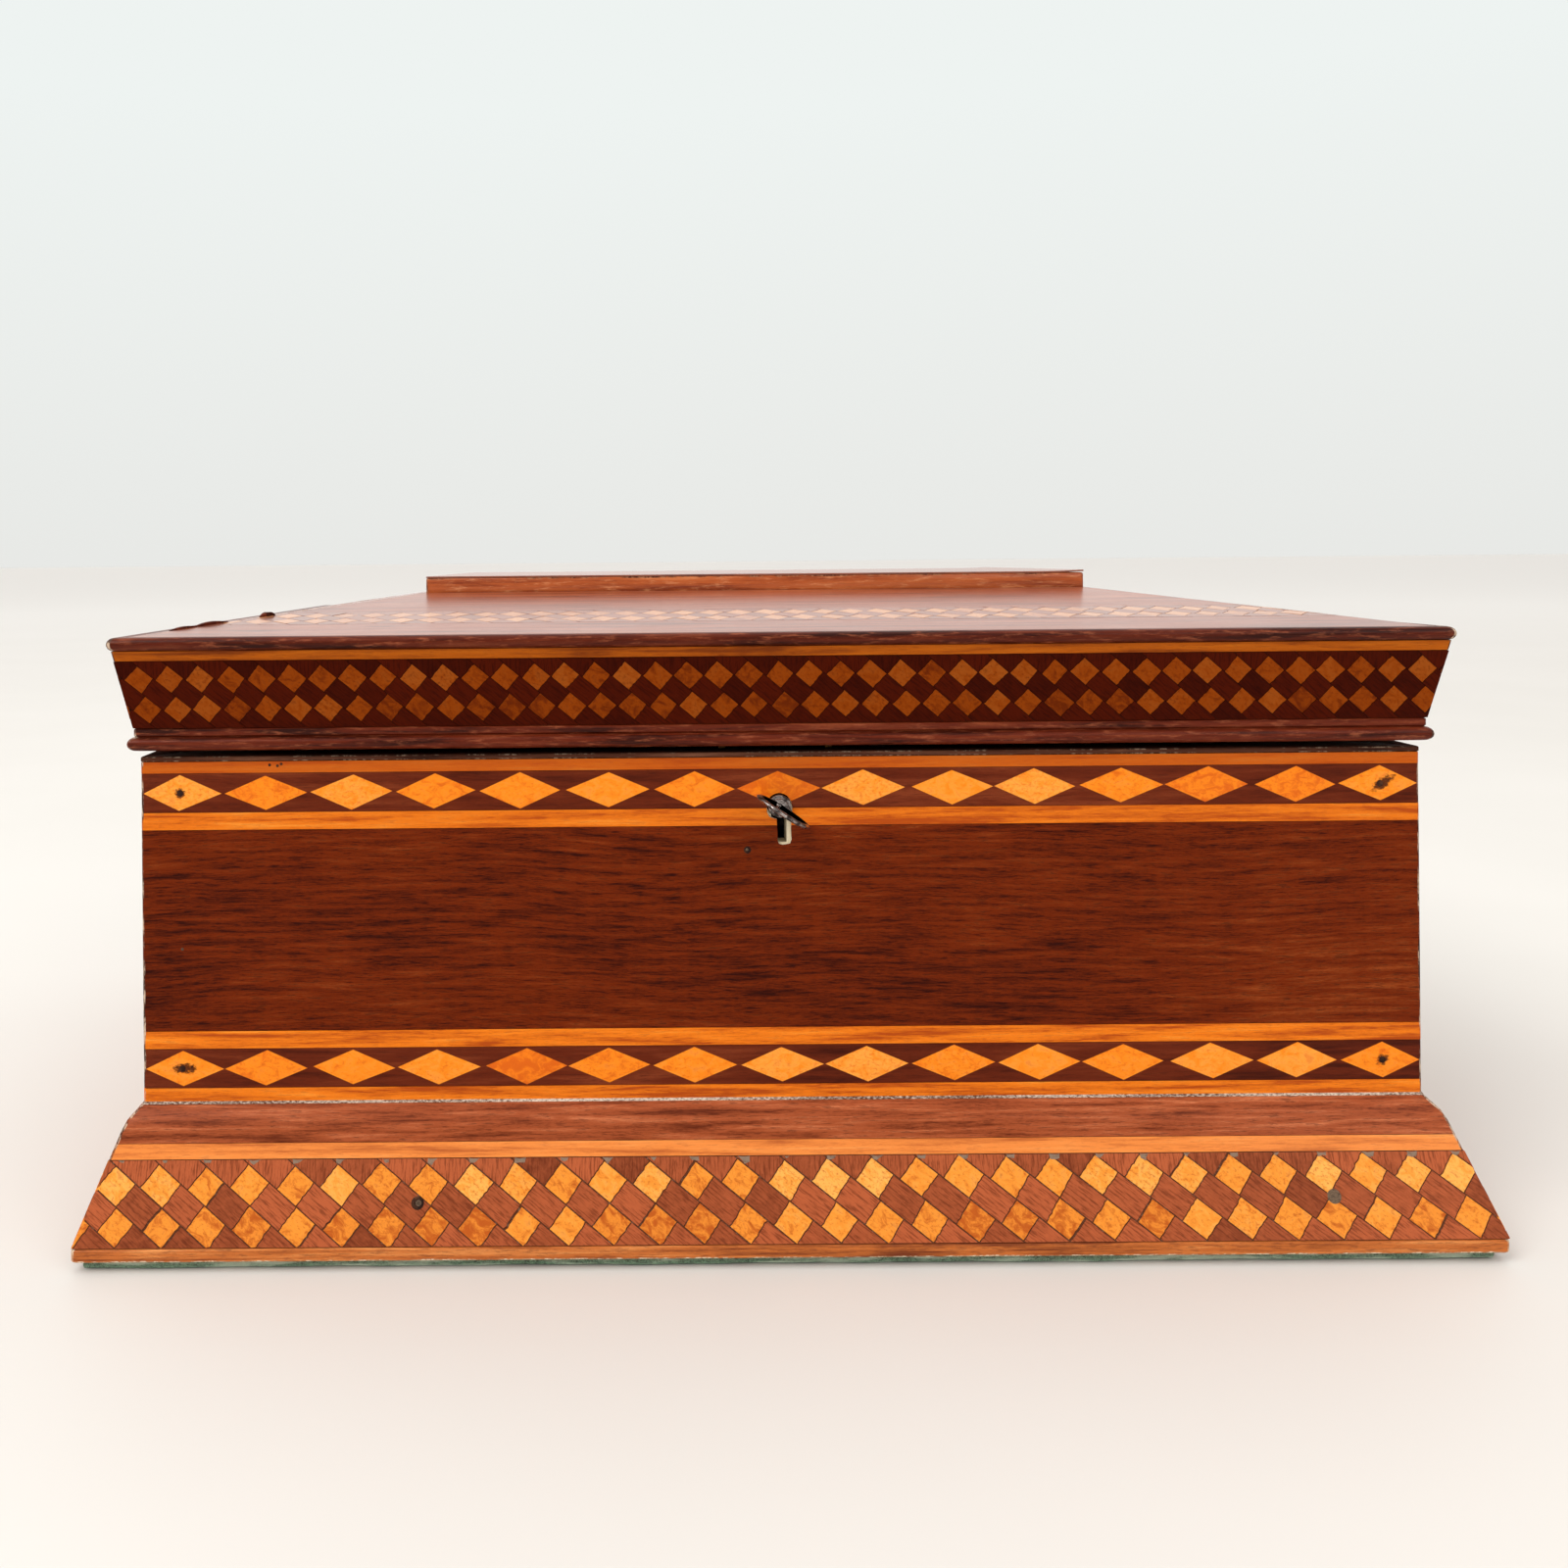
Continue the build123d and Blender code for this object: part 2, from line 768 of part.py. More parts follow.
with BuildPart() as lock_cap:
    with Locations((0, y_lock_front, z_lock_bottom)):
        Box(
            2 * lock_half_width,
            lock_cap_thickness,
            lock_height - rim_thickness,
            align=(Align.CENTER, Align.MIN, Align.MIN),
        )
    add(keyhole.part, mode=Mode.SUBTRACT)

with BuildPart() as drill_pin:
    with BuildSketch(Plane.XZ.offset(-y_plate_front)):
        with Locations((0, z_key)):
            Circle(drill_pin_radius)
    extrude(amount=drill_pin_length)
    chamfer(drill_pin.edges().group_by(Axis.Y)[0], drill_pin_radius / 2)

# Bolt: a bridge over the turning bit, an arm under the right staple, two tongues to the left
bolt_now = -bolt_throw * key_turned / 360
notch_middle = bolt_throw / 2 + bolt_now
bridge_low = z_bit_tip + bolt_gap
bridge_high = bridge_low + bolt_bridge_height
tongue_low = z_staple_bottom + staple_bar + tongue_play
tongue_high = tongue_low + tongue_height
leg_left = notch_middle - talon_half_width
leg_right = notch_middle + talon_half_width
tongue_gap = staple_thickness / 2 + bolt_throw / 4
left_tip = -staple_offset + tongue_gap + bolt_now
right_tip = staple_offset + tongue_gap + bolt_now
riser_left = right_tip + bolt_throw - 2 * bolt_gap
riser_right = riser_left + bolt_leg_width
with BuildPart() as lock_bolt:
    with BuildSketch(Plane.XZ.offset(-y_works)):
        with BuildLine():
            Polyline(
                (leg_left - bolt_leg_width, z_arm_bottom),
                (leg_left, z_arm_bottom),
                (leg_left, bridge_low),
                (leg_right, bridge_low),
                (leg_right, z_arm_bottom),
                (riser_right, z_arm_bottom),
                (riser_right, tongue_high),
                (right_tip, tongue_high),
                (right_tip, tongue_low),
                (riser_left, tongue_low),
                (riser_left, z_arm_top),
                (leg_right + bolt_leg_width, z_arm_top),
                (leg_right + bolt_leg_width, bridge_high),
                (leg_left - bolt_leg_width, bridge_high),
                (leg_left - bolt_leg_width, tongue_high),
                (left_tip, tongue_high),
                (left_tip, tongue_low),
                (leg_left - bolt_leg_width, tongue_low),
                close=True,
            )
        make_face()
    extrude(amount=bolt_thickness / 2, both=True)

spring_low = bridge_high + running_gap
with BuildPart() as bolt_spring:
    with BuildSketch(Plane.XZ.offset(-y_works)):
        with BuildLine():
            lower_arc = ThreePointArc(
                (-spring_half_length, z_rim - running_gap - spring_thickness),
                (0, spring_low),
                (spring_half_length, z_rim - running_gap - spring_thickness),
            )
            upper_arc = ThreePointArc(
                (-spring_half_length, z_rim - running_gap),
                (0, spring_low + spring_thickness),
                (spring_half_length, z_rim - running_gap),
            )
            Line(lower_arc @ 0, upper_arc @ 0)
            Line(lower_arc @ 1, upper_arc @ 1)
        make_face()
    extrude(amount=bolt_thickness, both=True)

with BuildPart() as lock_screws:
    add(lock_screw_group)

# Link plate on the lid, with two staples that drop through the selvedge
with BuildPart() as link_plate:
    with Locations((0, y_inner_front, z_lid)):
        Box(
            2 * lock_half_width,
            selvedge_depth,
            rim_thickness,
            align=(Align.CENTER, Align.MAX, Align.MIN),
        )
    with Locations(*[(end * staple_offset, y_works, z_lid) for end in (-1, 1)]):
        Box(
            staple_thickness,
            staple_width,
            z_lid - z_staple_bottom,
            align=(Align.CENTER, Align.CENTER, Align.MAX),
        )
    with Locations(*[(end * staple_offset, y_works, z_staple_bottom + staple_bar) for end in (-1, 1)]):
        Box(
            2 * staple_thickness,
            staple_width - 2 * staple_bar,
            staple_hole_height,
            align=(Align.CENTER, Align.CENTER, Align.MIN),
            mode=Mode.SUBTRACT,
        )
    add(link_screw_holes, mode=Mode.SUBTRACT)

with BuildPart() as link_plate_screws:
    add(link_screw_group)

# Key: a hollow barrel on the drill pin, a bit, a collar and a ring bow in the bit's plane
y_key_tip = y_plate_front - lock_slack
y_bow = -body_depth / 2 - bow_standoff
key_axis_plane = Plane(origin=(0, y_key_tip, z_key), x_dir=(1, 0, 0), z_dir=(0, -1, 0))
bit_direction = Vector(1, 0, 0).rotate(Axis.Y, 90 - key_turned)
bit_plane = Plane(origin=(0, y_key_tip, z_key), x_dir=bit_direction, z_dir=(0, -1, 0))
barrel_length = y_key_tip - y_bow - bow_major_radius
with BuildPart() as key:
    with BuildSketch(key_axis_plane):
        Circle(key_barrel_radius)
    extrude(amount=barrel_length)
    with BuildSketch(key_axis_plane.offset(barrel_length - key_collar_inset)):
        Circle(key_collar_radius)
    extrude(amount=key_collar_length)
    with BuildSketch(key_axis_plane):
        Circle(key_bore_radius)
    extrude(amount=key_bore_length, mode=Mode.SUBTRACT)
    with BuildSketch(bit_plane.offset(lock_slack)):
        with Locations(((key_bit_radius + key_barrel_radius) / 2 - key_bit_root / 2, 0)):
            Rectangle(key_bit_radius - key_barrel_radius + key_bit_root, key_bit_thickness)
    extrude(amount=key_bit_width)
    with Locations(Plane(origin=(0, y_bow, z_key), x_dir=(0, -1, 0), z_dir=bit_plane.y_dir)):
        Torus(bow_major_radius, bow_minor_radius)

# Lid rails, standing on the gap, sloped outside for the frieze
frieze_low = (fillet_flare, z_frieze)
frieze_high = (frieze_flare, z_cornice)
frieze_length = slant(frieze_low, frieze_high)
frieze_chequer_end = frieze_length * frieze_chequer_height / (frieze_chequer_height + frieze_string_height)


def frieze_core(height):
    """Flare of the wood under the frieze's veneers at a height."""
    share = (height - z_frieze) / (z_cornice - z_frieze)
    surface = fillet_flare + (frieze_flare - fillet_flare) * share
    return surface - veneer * frieze_length / (z_cornice - z_frieze)


rail_profile = outline(
    (-wall, z_lid),
    (-moulding_depth, z_lid),
    (-moulding_depth, z_frieze),
    (frieze_core(z_frieze), z_frieze),
    (frieze_core(z_roof_board), z_roof_board),
    (-wall, z_roof_board),
)

with BuildPart() as lid_rail_front:
    add(mitred_run("front", rail_profile))
    with Locations((0, y_inner_front, z_lid)):
        Box(
            2 * lock_half_width + 2 * lock_slack,
            2 * (selvedge_depth + lock_slack),
            2 * rim_thickness,
            mode=Mode.SUBTRACT,
        )
    add(link_screw_holes, mode=Mode.SUBTRACT)

with BuildPart() as lid_rail_back:
    add(mitred_run("back", rail_profile))
    add(hinge_recesses.part, mode=Mode.SUBTRACT)
    add(lid_hinge_holes, mode=Mode.SUBTRACT)

with BuildPart() as lid_rail_left:
    add(mitred_run("left", rail_profile))

with BuildPart() as lid_rail_right:
    add(mitred_run("right", rail_profile))

bead_radius = bead_height / 2
with BuildSketch() as bead_profile:
    with BuildLine():
        Line((bead_flare - bead_radius, z_lid), (-moulding_depth, z_lid))
        Line((-moulding_depth, z_lid), (-moulding_depth, z_fillet))
        Line((-moulding_depth, z_fillet), (bead_flare - bead_radius, z_fillet))
        ThreePointArc(
            (bead_flare - bead_radius, z_fillet),
            (bead_flare, z_lid + bead_radius),
            (bead_flare - bead_radius, z_lid),
        )
    make_face()

with BuildPart() as lid_beads:
    add(ring(bead_profile.sketch))
    add(hinge_recesses.part, mode=Mode.SUBTRACT)

with BuildPart() as lid_fillets:
    add(ring(outline(
        (-moulding_depth, z_fillet),
        (fillet_flare, z_fillet),
        (fillet_flare, z_frieze),
        (-moulding_depth, z_frieze),
    )))

with BuildPart() as frieze_chequer_bands:
    add(ring(strip(frieze_low, frieze_high, 0, frieze_chequer_end)))

with BuildPart() as frieze_strings:
    add(ring(outline(
        under(frieze_low, frieze_high, frieze_chequer_end, veneer),
        under(frieze_low, frieze_high, frieze_chequer_end, 0),
        frieze_high,
        (frieze_core(z_cornice), z_cornice),
    )))

# Cornice: a strip round the top edge, rounded outside
cornice_inner = cornice_flare - cornice_depth
with BuildSketch() as cornice_profile:
    with BuildLine():
        Line((cornice_flare - cornice_round, z_roof), (cornice_inner, z_roof))
        Line((cornice_inner, z_roof), (cornice_inner, z_cornice))
        Line((cornice_inner, z_cornice), (frieze_flare, z_cornice))
        ThreePointArc(
            (frieze_flare, z_cornice),
            (cornice_flare, z_cornice + cornice_height / 2),
            (cornice_flare - cornice_round, z_roof),
        )
    make_face()

with BuildPart() as lid_cornice:
    add(ring(cornice_profile.sketch))

# Roof: one board bevelled on four sides, veneered, with a chequer on each slope
roof_low = (cornice_inner, z_roof)
roof_high = (-panel_inset, z_panel)
roof_length = slant(roof_low, roof_high)
veneer_drop = veneer * roof_length / (panel_inset + cornice_inner)
roof_chequer_end = roof_outer_veneer_width + roof_chequer_width
z_panel_seat = z_panel - veneer_drop
z_board_edge = z_roof - veneer_drop


def plan_rectangle(flare):
    """Size of the box's plan at a flare."""
    return body_width + 2 * flare, body_depth + 2 * flare


with BuildPart() as lid_roof_board:
    with BuildSketch(Plane.XY.offset(z_roof_board)):
        Rectangle(*plan_rectangle(frieze_core(z_roof_board)))
    with BuildSketch(Plane.XY.offset(z_cornice)):
        Rectangle(*plan_rectangle(frieze_core(z_cornice)))
    loft(ruled=True)
    with BuildSketch(Plane.XY.offset(z_cornice)):
        Rectangle(*plan_rectangle(cornice_inner))
    extrude(amount=z_board_edge - z_cornice)
    with BuildSketch(Plane.XY.offset(z_board_edge)):
        Rectangle(*plan_rectangle(cornice_inner))
    with BuildSketch(Plane.XY.offset(z_panel_seat)):
        Rectangle(*plan_rectangle(-panel_inset))
    loft(ruled=True)

with BuildPart() as roof_veneers:
    add(ring(strip(roof_low, roof_high, 0, roof_outer_veneer_width)))
    add(ring(strip(roof_low, roof_high, roof_chequer_end, roof_length - 2 * glue_line)))

with BuildPart() as roof_chequer_bands:
    add(ring(strip(roof_low, roof_high, roof_outer_veneer_width, roof_chequer_end)))

with BuildPart() as raised_panel:
    with BuildSketch(Plane.XY.offset(z_panel_seat)):
        Rectangle(*plan_rectangle(-panel_inset))
    extrude(amount=z_lid_top - panel_veneer - z_panel_seat)

with BuildPart() as panel_top_veneer:
    with BuildSketch(Plane.XY.offset(z_lid_top - panel_veneer)):
        Rectangle(*plan_rectangle(-panel_inset))
    extrude(amount=panel_veneer)

lid_lining_low = z_lid + rim_thickness + lining_top_margin
with BuildPart() as lid_lining:
    add(ring(outline(
        (-wall - lining_thickness, lid_lining_low),
        (-wall, lid_lining_low),
        (-wall, z_roof_board - lining_thickness),
        (-wall - lining_thickness, z_roof_board - lining_thickness),
    )))
    with Locations((0, 0, z_roof_board)):
        Box(
            inner_width,
            inner_depth,
            lining_thickness - inlay_line,
            align=(Align.CENTER, Align.CENTER, Align.MAX),
        )

# Names and files

base_board.part.label = "base_board"
export_step(base_board.part, "parts/base_board.step")

baize_pad.part.label = "baize_pad"
export_step(baize_pad.part, "parts/baize_pad.step")

plinth_front.part.label = "plinth_front"
export_step(plinth_front.part, "parts/plinth_front.step")

plinth_back.part.label = "plinth_back"
export_step(plinth_back.part, "parts/plinth_back.step")

plinth_left.part.label = "plinth_left"
export_step(plinth_left.part, "parts/plinth_left.step")

plinth_right.part.label = "plinth_right"
export_step(plinth_right.part, "parts/plinth_right.step")

plinth_edge_strings.part.label = "plinth_edge_strings"
export_step(plinth_edge_strings.part, "parts/plinth_edge_strings.step")

plinth_slope_strings.part.label = "plinth_slope_strings"
export_step(plinth_slope_strings.part, "parts/plinth_slope_strings.step")

plinth_chequer_bands.part.label = "plinth_chequer_bands"
export_step(plinth_chequer_bands.part, "parts/plinth_chequer_bands.step")

case_nails.part.label = "case_nails"
export_step(case_nails.part, "parts/case_nails.step")

front_wall.part.label = "front_wall"
export_step(front_wall.part, "parts/front_wall.step")

back_wall.part.label = "back_wall"
export_step(back_wall.part, "parts/back_wall.step")

left_wall.part.label = "left_wall"
export_step(left_wall.part, "parts/left_wall.step")

right_wall.part.label = "right_wall"
export_step(right_wall.part, "parts/right_wall.step")

front_field_veneer.part.label = "front_field_veneer"
export_step(front_field_veneer.part, "parts/front_field_veneer.step")

back_field_veneer.part.label = "back_field_veneer"
export_step(back_field_veneer.part, "parts/back_field_veneer.step")

left_field_veneer.part.label = "left_field_veneer"
export_step(left_field_veneer.part, "parts/left_field_veneer.step")

right_field_veneer.part.label = "right_field_veneer"
export_step(right_field_veneer.part, "parts/right_field_veneer.step")

body_strings.part.label = "body_strings"
export_step(body_strings.part, "parts/body_strings.step")

lozenge_band_grounds.part.label = "lozenge_band_grounds"
export_step(lozenge_band_grounds.part, "parts/lozenge_band_grounds.step")

lower_lozenges.part.label = "lower_lozenges"
export_step(lower_lozenges.part, "parts/lower_lozenges.step")

upper_lozenges.part.label = "upper_lozenges"
export_step(upper_lozenges.part, "parts/upper_lozenges.step")

rim_veneers.part.label = "rim_veneers"
export_step(rim_veneers.part, "parts/rim_veneers.step")

case_lining.part.label = "case_lining"
export_step(case_lining.part, "parts/case_lining.step")

left_hinge_case_leaf.part.label = "left_hinge_case_leaf"
export_step(left_hinge_case_leaf.part, "parts/left_hinge_case_leaf.step")

right_hinge_case_leaf.part.label = "right_hinge_case_leaf"
export_step(right_hinge_case_leaf.part, "parts/right_hinge_case_leaf.step")

left_hinge_lid_leaf.part.label = "left_hinge_lid_leaf"
export_step(left_hinge_lid_leaf.part, "parts/left_hinge_lid_leaf.step")

right_hinge_lid_leaf.part.label = "right_hinge_lid_leaf"
export_step(right_hinge_lid_leaf.part, "parts/right_hinge_lid_leaf.step")

left_hinge_pin.part.label = "left_hinge_pin"
export_step(left_hinge_pin.part, "parts/left_hinge_pin.step")

right_hinge_pin.part.label = "right_hinge_pin"
export_step(right_hinge_pin.part, "parts/right_hinge_pin.step")

hinge_case_screws.part.label = "hinge_case_screws"
export_step(hinge_case_screws.part, "parts/hinge_case_screws.step")

hinge_lid_screws.part.label = "hinge_lid_screws"
export_step(hinge_lid_screws.part, "parts/hinge_lid_screws.step")

lock_case.part.label = "lock_case"
export_step(lock_case.part, "parts/lock_case.step")

lock_cap.part.label = "lock_cap"
export_step(lock_cap.part, "parts/lock_cap.step")

drill_pin.part.label = "drill_pin"
export_step(drill_pin.part, "parts/drill_pin.step")

lock_bolt.part.label = "lock_bolt"
export_step(lock_bolt.part, "parts/lock_bolt.step")

bolt_spring.part.label = "bolt_spring"
export_step(bolt_spring.part, "parts/bolt_spring.step")

lock_screws.part.label = "lock_screws"
export_step(lock_screws.part, "parts/lock_screws.step")

link_plate.part.label = "link_plate"
export_step(link_plate.part, "parts/link_plate.step")

link_plate_screws.part.label = "link_plate_screws"
export_step(link_plate_screws.part, "parts/link_plate_screws.step")

key.part.label = "key"
export_step(key.part, "parts/key.step")

lid_rail_front.part.label = "lid_rail_front"
export_step(lid_rail_front.part, "parts/lid_rail_front.step")

lid_rail_back.part.label = "lid_rail_back"
export_step(lid_rail_back.part, "parts/lid_rail_back.step")

lid_rail_left.part.label = "lid_rail_left"
export_step(lid_rail_left.part, "parts/lid_rail_left.step")

lid_rail_right.part.label = "lid_rail_right"
export_step(lid_rail_right.part, "parts/lid_rail_right.step")

lid_beads.part.label = "lid_beads"
export_step(lid_beads.part, "parts/lid_beads.step")

lid_fillets.part.label = "lid_fillets"
export_step(lid_fillets.part, "parts/lid_fillets.step")

frieze_chequer_bands.part.label = "frieze_chequer_bands"
export_step(frieze_chequer_bands.part, "parts/frieze_chequer_bands.step")

frieze_strings.part.label = "frieze_strings"
export_step(frieze_strings.part, "parts/frieze_strings.step")

lid_cornice.part.label = "lid_cornice"
export_step(lid_cornice.part, "parts/lid_cornice.step")

lid_roof_board.part.label = "lid_roof_board"
export_step(lid_roof_board.part, "parts/lid_roof_board.step")

roof_veneers.part.label = "roof_veneers"
export_step(roof_veneers.part, "parts/roof_veneers.step")

roof_chequer_bands.part.label = "roof_chequer_bands"
export_step(roof_chequer_bands.part, "parts/roof_chequer_bands.step")

raised_panel.part.label = "raised_panel"
export_step(raised_panel.part, "parts/raised_panel.step")

panel_top_veneer.part.label = "panel_top_veneer"
export_step(panel_top_veneer.part, "parts/panel_top_veneer.step")

lid_lining.part.label = "lid_lining"
export_step(lid_lining.part, "parts/lid_lining.step")
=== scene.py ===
"""The marquetry box in its finishes: veneers, strings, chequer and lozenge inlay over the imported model.

Points are worked out in millimetres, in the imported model's frame, and become metres in each mesh.
A side's along direction runs left to right as that side is seen, and out points away from the box.
"""

import bmesh
import bpy
import numpy as np
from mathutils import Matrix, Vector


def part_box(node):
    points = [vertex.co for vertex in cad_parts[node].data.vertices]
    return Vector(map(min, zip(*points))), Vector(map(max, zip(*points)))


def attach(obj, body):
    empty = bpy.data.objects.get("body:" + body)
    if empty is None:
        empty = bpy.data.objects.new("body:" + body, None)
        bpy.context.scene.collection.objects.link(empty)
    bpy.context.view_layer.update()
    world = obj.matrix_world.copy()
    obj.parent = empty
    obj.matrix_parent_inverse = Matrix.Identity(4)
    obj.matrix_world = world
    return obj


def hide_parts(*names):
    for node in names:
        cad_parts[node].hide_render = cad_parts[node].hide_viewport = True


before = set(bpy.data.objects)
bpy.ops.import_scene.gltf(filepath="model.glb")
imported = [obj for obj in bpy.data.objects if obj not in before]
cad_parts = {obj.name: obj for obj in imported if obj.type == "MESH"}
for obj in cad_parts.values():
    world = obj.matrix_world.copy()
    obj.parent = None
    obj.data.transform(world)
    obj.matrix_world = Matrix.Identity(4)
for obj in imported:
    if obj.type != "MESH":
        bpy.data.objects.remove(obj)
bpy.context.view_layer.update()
MM = 0.001
X, Y, Z = 0, 1, 2
seeded = np.random.default_rng(1830)


def low_high(node, axis):
    """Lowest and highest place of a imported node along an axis, in millimetres."""
    low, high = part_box(node)
    return low[axis] / MM, high[axis] / MM


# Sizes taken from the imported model
body_half_x = low_high("right_field_veneer", X)[1]
body_half_y = -low_high("front_field_veneer", Y)[0]
z_plinth, z_slope = low_high("plinth_edge_strings", Z)
plinth_flare = low_high("plinth_edge_strings", X)[1] - body_half_x
z_body = low_high("plinth_front", Z)[1]
z_low_band, z_high_band_top = low_high("lozenge_band_grounds", Z)
z_field, z_high_string = low_high("front_field_veneer", Z)
z_rim = low_high("rim_veneers", Z)[0]
z_lid, z_fillet = low_high("lid_beads", Z)
bead_flare = low_high("lid_beads", X)[1] - body_half_x
z_frieze = low_high("lid_fillets", Z)[1]
fillet_flare = low_high("lid_fillets", X)[1] - body_half_x
z_cornice, z_roof = low_high("lid_cornice", Z)
cornice_flare = low_high("lid_cornice", X)[1] - body_half_x
z_panel_veneer = low_high("raised_panel", Z)[1]
panel_half_x = low_high("raised_panel", X)[1]
panel_half_y = low_high("raised_panel", Y)[1]
z_lid_top = low_high("panel_top_veneer", Z)[1]
baize_half_x = low_high("baize_pad", X)[1]
baize_half_y = low_high("baize_pad", Y)[1]

# Sizes of the mouldings and inlay that no node's box gives
veneer = 1.0
band_height = 9.4
z_low_string = z_low_band + band_height
z_high_band = z_high_band_top - band_height
z_low_row = z_low_band + band_height / 2
z_high_row = z_high_band + band_height / 2
corner_round = 0.8
half_seam = 0.05
shoulder_flare = 3.55
z_shoulder = 30.8
plinth_chequer_end = 19.19
plinth_string_end = 22.71
plinth_slope_end = 25.6
moulding_inner = -4.0
y_past_lid = 130.0
frieze_flare = 5.15
frieze_chequer_end = 16.66
cornice_inner = 2.2
roof_outer_end = 15.0
roof_chequer_end = 31.8
roof_end = 62.99
panel_flare = panel_half_x - body_half_x
z_panel_foot = 154.9
lozenge_half_length = 9.95
lozenge_half_height = 4.3
lozenge_pitch = 20.5
lozenge_end_inset = 9.5
x_end_lozenge = body_half_x - lozenge_end_inset
corner_margin = 0.6
z_plinth_nail = 14.4
plinth_nail_left = 86.0
plinth_nail_right = 127.0
plinth_side_nail = 62.0
z_key = 104.6
keyhole_radius = 2.95
keyhole_slot_half = 1.85
y_bow_start = -115.9
bow_lean = 32
inlay_depth = 0.4

SIDES = ("front", "right", "back", "left")
ALONG = {"front": (1, 0), "right": (0, 1), "back": (-1, 0), "left": (0, -1)}
OUT = {"front": (0, -1), "right": (1, 0), "back": (0, 1), "left": (-1, 0)}
HALF_RUN = {"front": body_half_x, "right": body_half_y, "back": body_half_x, "left": body_half_y}
REACH = {"front": body_half_y, "right": body_half_x, "back": body_half_y, "left": body_half_x}


# Meshes


class Patch:
    """Points, faces with one number of corners, each corner's grain UV and tint.
    A tint is tone, figure, darkness and nearness to the piece's edge, each 0 to 1. Darkness marks the dark
    inlay pieces, and on polished veneer it is painted shade."""

    def __init__(self, points, faces, grain, tint=(0.5, 0.5, 0.0, 0.0)):
        self.points = np.asarray(points, float).reshape(-1, 3)
        self.faces = np.asarray(faces, int)
        self.grain = np.asarray(grain, float).reshape(self.faces.shape + (2,))
        self.tint = np.broadcast_to(np.asarray(tint, float), self.faces.shape + (4,))


def placed(side, along, out, up):
    """Points from distances along a side, out from the middle of the box, and up."""
    along, out, up = np.broadcast_arrays(along, out, up)
    x = along * ALONG[side][X] + out * OUT[side][X]
    y = along * ALONG[side][Y] + out * OUT[side][Y]
    return np.stack([x, y, up], axis=-1)


def grid_faces(index, closed=None):
    """Faces between neighbours along the last two axes of an array of point numbers. One of
    the two, -2 or -1, can be closed: its end meets its start."""
    if closed is not None:
        index = np.concatenate([index, index.take([0], axis=closed)], axis=closed)
    corners = [index[..., :-1, :-1], index[..., 1:, :-1], index[..., 1:, 1:], index[..., :-1, 1:]]
    return np.stack(corners, -1).reshape(*index.shape[:-2], -1, 4)


def painted(mesh, grain, tint):
    """Gives each corner of a mesh its grain UV and its tint."""
    mesh.uv_layers.new(name="grain").data.foreach_set("uv", grain.astype(np.float32))
    mesh.attributes.new("tint", "FLOAT_COLOR", "CORNER").data.foreach_set("color", tint.astype(np.float32))


def piece(name, patches, finish, body, replaced=(), sharp=35):
    """Joins patches into one object, on a body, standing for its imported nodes."""
    starts = np.cumsum([0] + [len(patch.points) for patch in patches])
    corners = np.concatenate([(p.faces + start).ravel() for p, start in zip(patches, starts)])
    sizes = np.concatenate([np.full(len(p.faces), p.faces.shape[1]) for p in patches])
    points = np.concatenate([patch.points for patch in patches]) * MM
    mesh = bpy.data.meshes.new(name)
    mesh.vertices.add(len(points))
    mesh.vertices.foreach_set("co", points.ravel().astype(np.float32))
    mesh.loops.add(len(corners))
    mesh.loops.foreach_set("vertex_index", corners.astype(np.int32))
    mesh.polygons.add(len(sizes))
    mesh.polygons.foreach_set("loop_start", (np.cumsum(sizes) - sizes).astype(np.int32))
    mesh.update(calc_edges=True)
    painted(mesh, np.concatenate([patch.grain.ravel() for patch in patches]),
            np.concatenate([patch.tint.ravel() for patch in patches]))
    bm = bmesh.new()
    bm.from_mesh(mesh)
    bmesh.ops.remove_doubles(bm, verts=bm.verts, dist=0.0002 * MM)
    bm.to_mesh(mesh)
    bm.free()
    mesh.validate()
    return dressed(name, mesh, finish, body, replaced, sharp)


def linked(name, data):
    """A new object in the scene."""
    obj = bpy.data.objects.new(name, data)
    bpy.context.scene.collection.objects.link(obj)
    return obj


def dressed(name, mesh, finish, body, replaced, sharp):
    """A mesh as a piece with its finish, its shading, the body it rides on and the nodes it stands for."""
    finish.put_on(mesh)
    mesh.shade_smooth()
    mesh.set_sharp_from_angle(angle=np.radians(sharp))
    obj = linked(name, mesh)
    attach(obj, body)
    if replaced:
        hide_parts(*replaced)
    return obj


